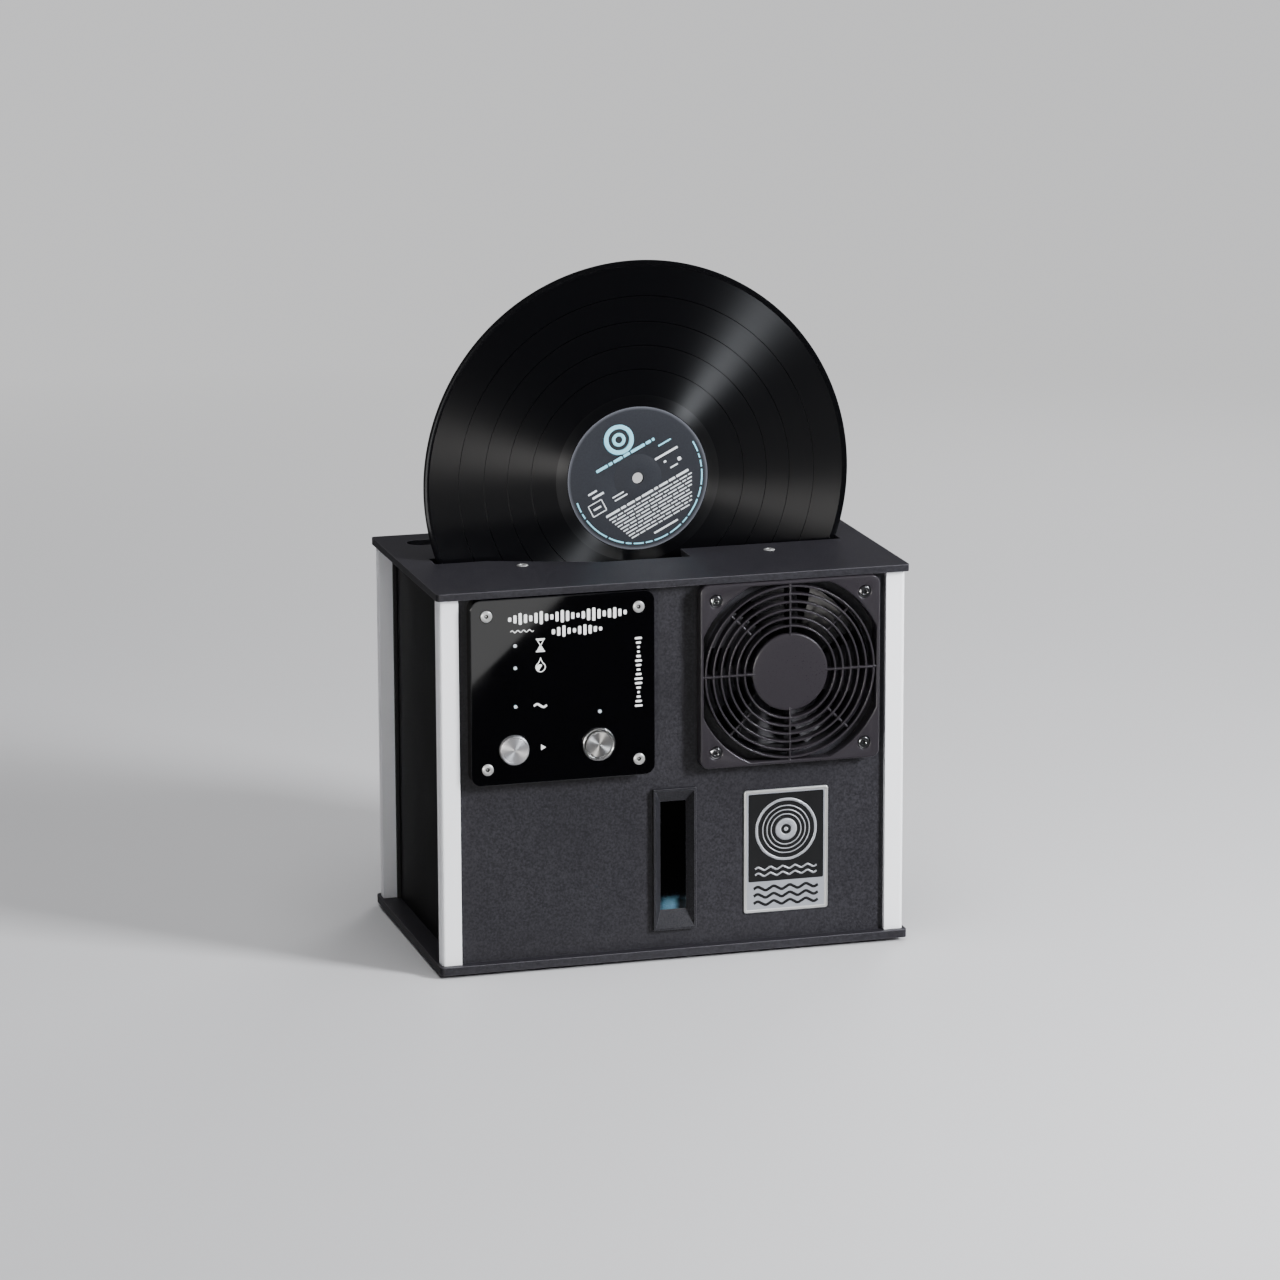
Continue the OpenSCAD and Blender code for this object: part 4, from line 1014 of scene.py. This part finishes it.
recordDisc = makeDisc()
for part, (material, inner, outer) in enumerate(((smoothVinyl, 0, 160), (grooved, 60, 145), (runOut, 50.1, 59))):
    recordDisc.data.materials.append(material)
    openEdit(recordDisc)
    pickFaces(recordDisc, lambda middle, normal: abs(normal.y) > 0.9
              and inner * mm < (middle - disc["centre"]).xz.length < outer * mm)
    recordDisc.active_material_index = part
    bpy.ops.object.material_slot_assign()
    closeEdit()
finishPiece(recordDisc, None, "record_body")
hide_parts("record")
print("stage: record disc")


# Its label: paper with a moulded ring, and a print of no maker's

label = {
    "radius": 49.8,
    "thickness": 0.2,
    "steps": [   # inset width and rise, from the edge inwards, with the moulded ring
        (0.5, 0.04), (31.7, -0.04), (0.4, -0.1), (0.5, 0), (0.4, 0.1), (11.6, 0), (0.6, -0.06)],
    "paper": tone(36, 38, 43),
    "fleck": tone(46, 48, 54),
    "edge": tone(86, 88, 95),
    "ink": tone(222, 226, 230),
    "sky": tone(140, 214, 236),
    "slant": math.radians(27),
}


def makePaper():
    material = newMaterial("labelPaper", {"Specular IOR Level": 0.3, "Coat Weight": 0.1, "Coat Roughness": 0.35})
    tree, shader = material.node_tree, shaderOf(material)
    grain = placeGroup(material, fineGrain, {
        "Base": label["paper"], "Fleck": label["fleck"], "Scale": 900, "Share": 0.6, "Rough": 0.46, "Spread": 0.12})
    rings = placeGroup(material, turned, {"Centre": disc["centre"], "Density": 800})
    rim = remap(tree, rings.outputs["Radius"], 47.6 * mm, 49.6 * mm, 0, 1)
    feed(tree, shader.inputs["Base Color"], mixColour(tree, rim, grain.outputs["Color"], label["edge"]))
    feed(tree, shader.inputs["Roughness"], grain.outputs["Roughness"])
    feed(tree, shader.inputs["Normal"], bump(tree, grain.outputs["Height"], 0.2, 0.04 * mm))
    return material


def makeLabelDisc(name, side):
    place = disc["centre"] + Vector((0, side * (disc["thickness"] - label["thickness"]) / 2 * mm, 0))
    bpy.ops.mesh.primitive_cylinder_add(vertices=128, radius=label["radius"] * mm, depth=label["thickness"] * mm,
                                        location=place, rotation=(-side * math.pi / 2, 0, 0))
    piece = nameNew(name)
    openEdit(piece)
    pickFaces(piece, lambda middle, normal: normal.z > 0.9)
    insetSteps(label["steps"])
    pickFaces(piece, lambda middle, normal: normal.z < -0.9)
    insetSteps([(label["radius"] - 4.7, 0)])
    pickFaces(piece, lambda middle, normal: middle.xy.length < 0.5 * mm)
    bpy.ops.mesh.delete(type="ONLY_FACE")
    pickEdges(piece, lambda a, b: a.xy.length < 4.95 * mm and b.xy.length < 4.95 * mm and abs(a.z - b.z) < 1e-7)
    bpy.ops.mesh.bridge_edge_loops()
    closeEdit()
    smoothUpTo(piece, 30)
    bakePlace(piece)
    return piece


paper = makePaper()
labelFront = finishPiece(makeLabelDisc("label_front", -1), paper, "record_body")
finishPiece(makeLabelDisc("label_back", 1), paper, "record_body")
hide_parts("record_label")


# Prints: thin closed slabs of ink that lie on a face

def inkFinish(name, base, fleck, rough=0.35):
    return grainFinish(name, {"base": base, "fleck": fleck, "wearAndHighlight": base, "scale": 2400, "rough": rough,
                              "spread": 0.1, "edge": 0.1, "gain": 0.5, "bump": 0.1, "depth": 0.02})


inkThick = 0.05 * mm


def thickenInk(piece):
    applyModifier(piece, "SOLIDIFY", {"thickness": inkThick, "offset": 0})
    return piece


def hollowOut(piece, width):   # leaves an outline
    openEdit(piece)
    bpy.ops.mesh.select_all(action="SELECT")
    insetSteps([(width, 0)])
    bpy.ops.mesh.delete(type="FACE")
    closeEdit()


def flatShape(name, sides, radius, place):
    bpy.ops.mesh.primitive_circle_add(vertices=sides, radius=radius * mm, fill_type="NGON", location=place,
                                      rotation=frontTurn)
    return nameNew(name)


def barPrint(name, place, width, height, round=0.3):   # a bar with rounded corners
    bpy.ops.mesh.primitive_plane_add(size=1, location=place, rotation=frontTurn)
    piece = nameNew(name)
    piece.scale = (width * mm, height * mm, 1)
    bakePlace(piece)
    openEdit(piece)
    bpy.ops.mesh.select_all(action="SELECT")
    bpy.ops.mesh.bevel(offset=round * min(width, height) * mm, segments=4, affect="VERTICES")
    closeEdit()
    return thickenInk(piece)


def strokePrint(name, points, width, closed=False):   # a drawn line of ink
    bpy.ops.curve.primitive_bezier_curve_add(location=(0, 0, 0))
    piece = nameNew(name)
    line = piece.data.splines[0]
    line.bezier_points.add(len(points) - 2)
    for knot, point in zip(line.bezier_points, points):
        knot.handle_left_type = knot.handle_right_type = "AUTO"
        knot.co = point
    line.use_cyclic_u = closed
    piece.data.resolution_u = 6
    piece.data.bevel_depth = width / 2 * mm
    piece.data.bevel_resolution = 2
    piece.data.use_fill_caps = True
    takeUp(piece)
    bpy.ops.object.convert(target="MESH")
    piece = nameNew(name)
    level = points[0][1]
    flatten = inkThick / (width * mm)
    piece.data.transform(Matrix.Translation((0, level, 0)) @ Matrix.Diagonal((1, flatten, 1, 1))
                         @ Matrix.Translation((0, -level, 0)))
    return piece


def ringPoints(centre, radius, start, end, count):   # angles in degrees, upwards from the right
    points = []
    for index in range(count):
        angle = math.radians(start + (end - start) * index / (count - 1))
        points.append(centre + Vector((math.cos(angle), 0, math.sin(angle))) * radius * mm)
    return points


def closedRing(name, centre, radius, width):
    return strokePrint(name, ringPoints(centre, radius, 0, 330, 12), width, closed=True)


def wavePoints(centre, length, height, swings):
    points = []
    count = swings * 4 + 1
    for index in range(count):
        along = (index / (count - 1) - 0.5) * length
        up = height / 2 * math.sin(index * math.pi / 2)
        points.append(centre + Vector((along, 0, up)) * mm)
    return points


labelInk = inkFinish("labelInk", label["ink"], tone(206, 210, 214))
labelSky = inkFinish("labelSky", label["sky"], tone(136, 206, 224))
labelTop = disc["centre"] + Vector((0, -disc["thickness"] / 2 * mm - 0.02 * mm, 0))


def onLabel(along, up):   # along and above the slanting print lines, in mm
    slant = label["slant"]
    return labelTop + Vector((along * math.cos(slant) - up * math.sin(slant), 0,
                              along * math.sin(slant) + up * math.cos(slant))) * mm


def labelRun(along, up, length, thick):   # a run of small print
    bar = barPrint("run", Vector((0, 0, 0)), length, thick)
    bar.data.transform(Matrix.Translation(onLabel(along, up)) @ Matrix.Rotation(-label["slant"], 4, "Y"))
    return bar


def brokenRuns(left, right, up, thick, first):
    runs, cursor, step = [], left, first
    while cursor < right - 1.5:
        length = min((6, 4, 9, 3, 7, 5, 11, 4)[step % 8], right - cursor)
        runs.append(labelRun(cursor + length / 2, up, length, thick))
        cursor, step = cursor + length + 0.9, step + 1
    return runs


def makeLabelPrint():
    sky = []
    for start, reach in (   # a broken ring near the edge, open at the upper left
            (199, 9), (210, 5), (217, 24), (243, 14), (259, 5), (266, 9), (277, 6), (285, 13), (300, 12),
            (314, 6), (322, 16), (340, 9), (351, 14), (367, 6), (375, 4), (381, 10)):
        sky.append(strokePrint("dash", ringPoints(labelTop, 45.7, start, start + reach, 5), 1.4))
    emblem = onLabel(0.4, 30.6)
    sky.append(closedRing("emblem", emblem, 9.0, 3.6))
    sky.append(closedRing("emblem", emblem, 3.6, 2.6))
    sky += brokenRuns(-23.6, 22.7, 18.6, 2.1, 2)
    sky.append(labelRun(27.8, 12.6, 10, 1.1))
    ink = [labelRun(*row) for row in (
        (25.5, 5.3, 18, 1.5), (31.8, -2.7, 2.6, 2.6), (26.3, -5.3, 6, 1.1), (22, 0.6, 2, 1.6),
        (-32.6, 7.0, 7, 1.3), (-30, 3.4, 9, 1.6), (-17.5, -3.3, 9, 1.0), (-16.5, -6.0, 10, 1.0),
        (2, -40.2, 19, 1.3))]
    ink += brokenRuns(-32, 34, -12.9, 1.7, 6)
    for line in range(9):   # the block of small print
        up = -16.0 - 2.4 * line
        half = math.sqrt(42.3 ** 2 - up ** 2)
        ink += brokenRuns(-min(half, 31 - line), min(half, 35 - line * 1.2), up, 0.95, line * 3)
    middle, side = (-34.5, -4.2), 5.2
    corner = [onLabel(middle[0] + x * side, middle[1] + y * side * 0.8)
              for x, y in ((-1, -1), (1, -1), (1, 1), (-1, 1))]
    for index in range(4):
        first, last = corner[index], corner[index - 1]
        ink.append(strokePrint("box", [first, (first + last) / 2, last], 0.8))
    ink.append(labelRun(middle[0], middle[1], 6, 1.4))
    finishPiece(joinPieces(sky, "label_print_sky"), labelSky, "record_body")
    finishPiece(joinPieces(ink, "label_print_ink"), labelInk, "record_body")


makeLabelPrint()
print("stage: label")


# Printed signs on the control plate

plate = {
    "face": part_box("control_plate")[0].y,
    "white": tone(250, 250, 249),
    "title": {"left": -116, "right": -35, "up": 246.0, "pitch": 3.62, "bar": 2.2},
    "second": {"left": -86, "right": -52, "up": 235.8},
    "side": {"x": -27.2, "low": 181, "high": 229, "pitch": 3.1, "bar": 1.5},
    "bars": [3, 5.5, 8, 6, 4, 7, 9, 5, 3.5, 6.5, 8.5, 7, 4.5, 3, 5, 8, 9, 6.5, 4, 6, 7.5, 5, 3],   # heights
    "ripple": (-107.5, 237.6),
    "hourglass": (-95, 227.2),
    "drop": (-95, 212.2),
    "dropRadius": 3.5,
    "wave": (-95.4, 185.8),
    "run": (-94, 157),
}


def onPlate(x, z):
    return Vector((x * mm, plate["face"] - 0.01 * mm, z * mm))


def levelBars():   # rows of bars, two where a title would stand and one upright at the right edge
    bars, title, second, side = plate["bars"], plate["title"], plate["second"], plate["side"]
    signs, index = [], 0
    for row, shift, share in ((title, 0, 1), (second, 4, 0.85)):
        x = row["left"]
        while x < row["right"]:
            height = bars[(index + shift) % len(bars)] * share
            signs.append(barPrint("level", onPlate(x, row["up"]), title["bar"], height, 0.35))
            x, index = x + title["pitch"], index + 1
    z = side["low"]
    while z < side["high"]:
        signs.append(barPrint("level", onPlate(side["x"], z), bars[index % len(bars)] * 0.62, side["bar"], 0.35))
        z, index = z + side["pitch"], index + 1
    return signs


def hourglass():   # an empty glass above, sand below
    x, z = plate["hourglass"]
    signs = []
    for sign in (1, -1):
        half = flatShape("hourglass", 3, 3.4, onPlate(x, z - 2.1 * sign))
        half.scale = (0.86, 0.9 * sign, 1)
        bakePlace(half)
        if sign < 0:
            hollowOut(half, 0.55)
        signs.append(thickenInk(half))
        signs.append(barPrint("hourglass", onPlate(x, z - 4.2 * sign), 6.2, 0.9, 0.2))
    return signs


def waterDrop():   # an outline with a fuller left half
    x, z = plate["drop"]
    drop = flatShape("drop", 24, plate["dropRadius"], onPlate(x, z))
    bakePlace(drop)
    openEdit(drop)
    top = (z + plate["dropRadius"]) * mm
    pickPoints(drop, lambda point: point.z > top - 0.05 * mm)
    bpy.ops.transform.translate(value=(0, 0, 3.4 * mm))
    pickPoints(drop, lambda point: top - 0.35 * mm < point.z < top + 0.01 * mm)
    bpy.ops.transform.translate(value=(0, 0, 1.3 * mm))
    closeEdit()
    hollowOut(drop, 0.6)
    fill = flatShape("drop", 20, 2.3, onPlate(x - 0.6, z - 0.3))
    bakePlace(fill)
    openEdit(fill)
    bpy.ops.mesh.select_all(action="SELECT")
    bpy.ops.mesh.bisect(plane_co=onPlate(x + 0.1, z - 0.3), plane_no=(0.86, 0, -0.5), clear_outer=True)
    closeEdit()
    return [thickenInk(drop), thickenInk(fill)]


def runSign():   # by the start button
    x, z = plate["run"]
    run = flatShape("run", 3, 2.3, onPlate(x, z))
    bakePlace(run)
    run.data.transform(Matrix.Translation(onPlate(x, z)) @ Matrix.Rotation(math.pi / 2, 4, "Y")
                       @ Matrix.Translation(-onPlate(x, z)))
    return thickenInk(run)


def makePlateSigns():
    signs = levelBars()
    signs.append(strokePrint("ripple", wavePoints(onPlate(*plate["ripple"]), 16, 1.4, 4), 0.6))
    signs += hourglass() + waterDrop()
    signs.append(strokePrint("wave", wavePoints(onPlate(*plate["wave"]), 9.0, 2.3, 1), 1.5))
    signs.append(runSign())
    return joinPieces(signs, "plate_signs")


signWhite = inkFinish("signWhite", plate["white"], tone(216, 216, 214))
finishPiece(makePlateSigns(), signWhite, "case")
print("stage: signs on the control plate")


# The sign plate low on the front: a dark field with a disc and waves, on brushed metal

sign = {
    "middle": 79.5,
    "discUp": 84.5,
    "rings": [(21.0, 2.0), (16.6, 0.8), (13.6, 0.8), (10.6, 0.8), (5.6, 4.4), (0.9, 1.2)],   # radius and width
    "rim": [(0.45, 0.35), (0.5, 0.15), (0.5, 0), (0.5, -0.15), (0.45, -0.4)],
    "lift": 0.04,
    "width": 53.6,
    "fieldLow": 48.6,
    "fieldHigh": 110.4,
    "field": tone(14, 14, 15),
    "face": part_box("badge")[0].y,
}


def onSign(x, z):
    return Vector((x * mm, sign["face"] - 0.01 * mm, z * mm))


def makeSignRim():   # the plate's edge, pressed up into a rounded bead
    low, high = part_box("badge")
    half = Vector((high.x - low.x, 0, high.z - low.z)) / 2 / mm
    rim = addBlock("sign_rim", (-half.x, -half.z, 0.3), (half.x, half.z, 0.8))
    openEdit(rim)
    pickEdges(rim, lambda a, b: abs(a.z - b.z) > 0.2 * mm)
    bpy.ops.mesh.bevel(offset=2 * mm, segments=6)
    pickFaces(rim, lambda middle, normal: normal.z > 0.9)
    insetSteps(sign["rim"])
    bpy.ops.mesh.delete(type="FACE")
    closeEdit()
    rim.data.transform(Matrix.Translation(((low.x + high.x) / 2, high.y, (low.z + high.z) / 2)) @ faceFront)
    smoothUpTo(rim, 70)
    return rim


def signWaves(up, step, count, length, height, swings, width):
    centres = [onSign(sign["middle"], up - step * index) + Vector((0, -sign["lift"] * mm, 0))
               for index in range(count)]
    return [strokePrint("wave", wavePoints(centre, length, height, swings), width) for centre in centres]


def makeSignPlate():
    low, high, x = sign["fieldLow"], sign["fieldHigh"], sign["middle"]
    field = barPrint("sign_field", onSign(x, (low + high) / 2), sign["width"], high - low, 0.02)
    finishPiece(field, signField, "case")
    middle = onSign(x, sign["discUp"]) + Vector((0, -sign["lift"] * mm, 0))
    silver = [closedRing("disc", middle, *ring) for ring in sign["rings"]]
    silver += signWaves(57.6, 4.2, 2, 44, 2.0, 5, 1.3)
    finishPiece(joinPieces(silver, "sign_disc"), badgeMetal, "case")
    dark = signWaves(43.6, 5.2, 3, 46, 2.6, 4, 2.0)
    finishPiece(joinPieces(dark, "sign_waves"), signField, "case")


signField = inkFinish("signField", sign["field"], tone(22, 22, 24), 0.45)
makeSignPlate()
finishPiece(makeSignRim(), screwSteelPaintedSheen, "case")
print("stage: sign plate")


# Marks on the rocker, raised strokes of white ink on its rear face

def makeRockerMarks():
    low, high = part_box("power_rocker")
    face = high.y - 0.4 * mm
    centre = Vector(((low.x + high.x) / 2, face, high.z - 4.0 * mm))
    bar = barPrint("mark", centre, 0.9, 3.4, 0.3)
    ring = closedRing("mark", Vector((centre.x, face, low.z + 4.0 * mm)), 1.6, 0.7)
    return joinPieces([bar, ring], "rocker_marks")


finishPiece(makeRockerMarks(), signWhite, "rocker")


# Sleeves on the barrels: knitted microfibre pile with hemmed ends and one long seam

sleeve = {
    "radius": 12.7,
    "stitches": (3.0, 5.0),   # from each end
    "turns": 1.9,             # radians from one sleeve to the next
    "pile": 0.5,
    "light": tone(224, 222, 212),
    "shade": tone(186, 183, 170),
}


def makeFabric():
    material = newMaterial("microfibre", {"Sheen Weight": 0.5, "Sheen Roughness": 0.4, "Specular IOR Level": 0.15})
    tree, shader = material.node_tree, shaderOf(material)
    place = objectPlace(tree)
    tuft = addNode(tree, "ShaderNodeTexVoronoi", {"feature": "SMOOTH_F1"}, {"Vector": place, "Scale": 900.0,
                                                                          "Smoothness": 0.4}).outputs["Distance"]
    loose = noise(tree, place, 160.0, 5.0)
    both = calc(tree, "ADD", calc(tree, "MULTIPLY", tuft, 0.7), calc(tree, "MULTIPLY", loose, 0.5))
    feed(tree, shader.inputs["Base Color"],
         mixColour(tree, remap(tree, both, 0.3, 0.8, 0, 1), sleeve["light"], sleeve["shade"]))
    feed(tree, shader.inputs["Roughness"], remap(tree, both, 0, 1, 0.95, 0.8))
    feed(tree, shader.inputs["Normal"], bump(tree, both, 0.8, 0.5 * mm))
    return material


def makeSleeve():
    low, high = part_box("sleeve_front_left")
    centre, length = (low + high) / 2, high.z - low.z
    bpy.ops.mesh.primitive_cylinder_add(vertices=72, radius=sleeve["radius"] * mm, depth=length - 0.4 * mm,
                                        location=centre)
    piece = nameNew("sleeve_pile_front_left")
    openEdit(piece)
    pickEdges(piece, lambda a, b: abs(a.z - b.z) > length / 2)
    bpy.ops.mesh.subdivide(number_cuts=47)
    pickFaces(piece, lambda middle, normal: abs(normal.z) > 0.9)
    bpy.ops.mesh.inset(thickness=2.2 * mm, depth=0.0, use_individual=True)
    bpy.ops.mesh.inset(thickness=1.4 * mm, depth=-1.2 * mm, use_individual=True)
    for offset in sleeve["stitches"]:   # two rows pull each hem in
        pickPoints(piece, lambda point: abs(abs(point.z) - (length / 2 - offset * mm)) < 1.0 * mm
                   and point.xy.length > 12 * mm)
        bpy.ops.transform.resize(value=(0.965, 0.965, 1))
    pickPoints(piece, lambda point: abs(point.x) < 0.6 * mm and point.y < -10 * mm)
    bpy.ops.transform.resize(value=(1, 0.955, 1))   # the long seam
    closeEdit()
    bakePlace(piece)
    applyModifier(piece, "SUBSURF", {"levels": 1, "render_levels": 1})
    cloud = bpy.data.textures.new("pile", "CLOUDS")
    cloud.noise_scale = 0.0022
    cloud.noise_depth = 3
    applyModifier(piece, "DISPLACE", {"texture": cloud, "strength": sleeve["pile"] * mm, "mid_level": 0.6,
                                      "texture_coords": "LOCAL"})
    bpy.ops.object.shade_smooth()
    return piece


fabric = makeFabric()
firstSleeve = makeSleeve()
firstMiddle = middleOf("sleeve_front_left")
sleeves = {"front_left": firstSleeve}
for side in ("front_right", "rear_left", "rear_right"):
    twin = copyOf(firstSleeve, "sleeve_pile_" + side)
    spin = Matrix.Rotation(len(sleeves) * sleeve["turns"], 4, "Z")
    twin.data.transform(Matrix.Translation(middleOf("sleeve_" + side)) @ spin @ Matrix.Translation(-firstMiddle))
    sleeves[side] = twin
for side, piece in sleeves.items():
    finishPiece(piece, fabric, "barrel_" + side)
    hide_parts("sleeve_" + side)
print("stage: microfibre sleeves")
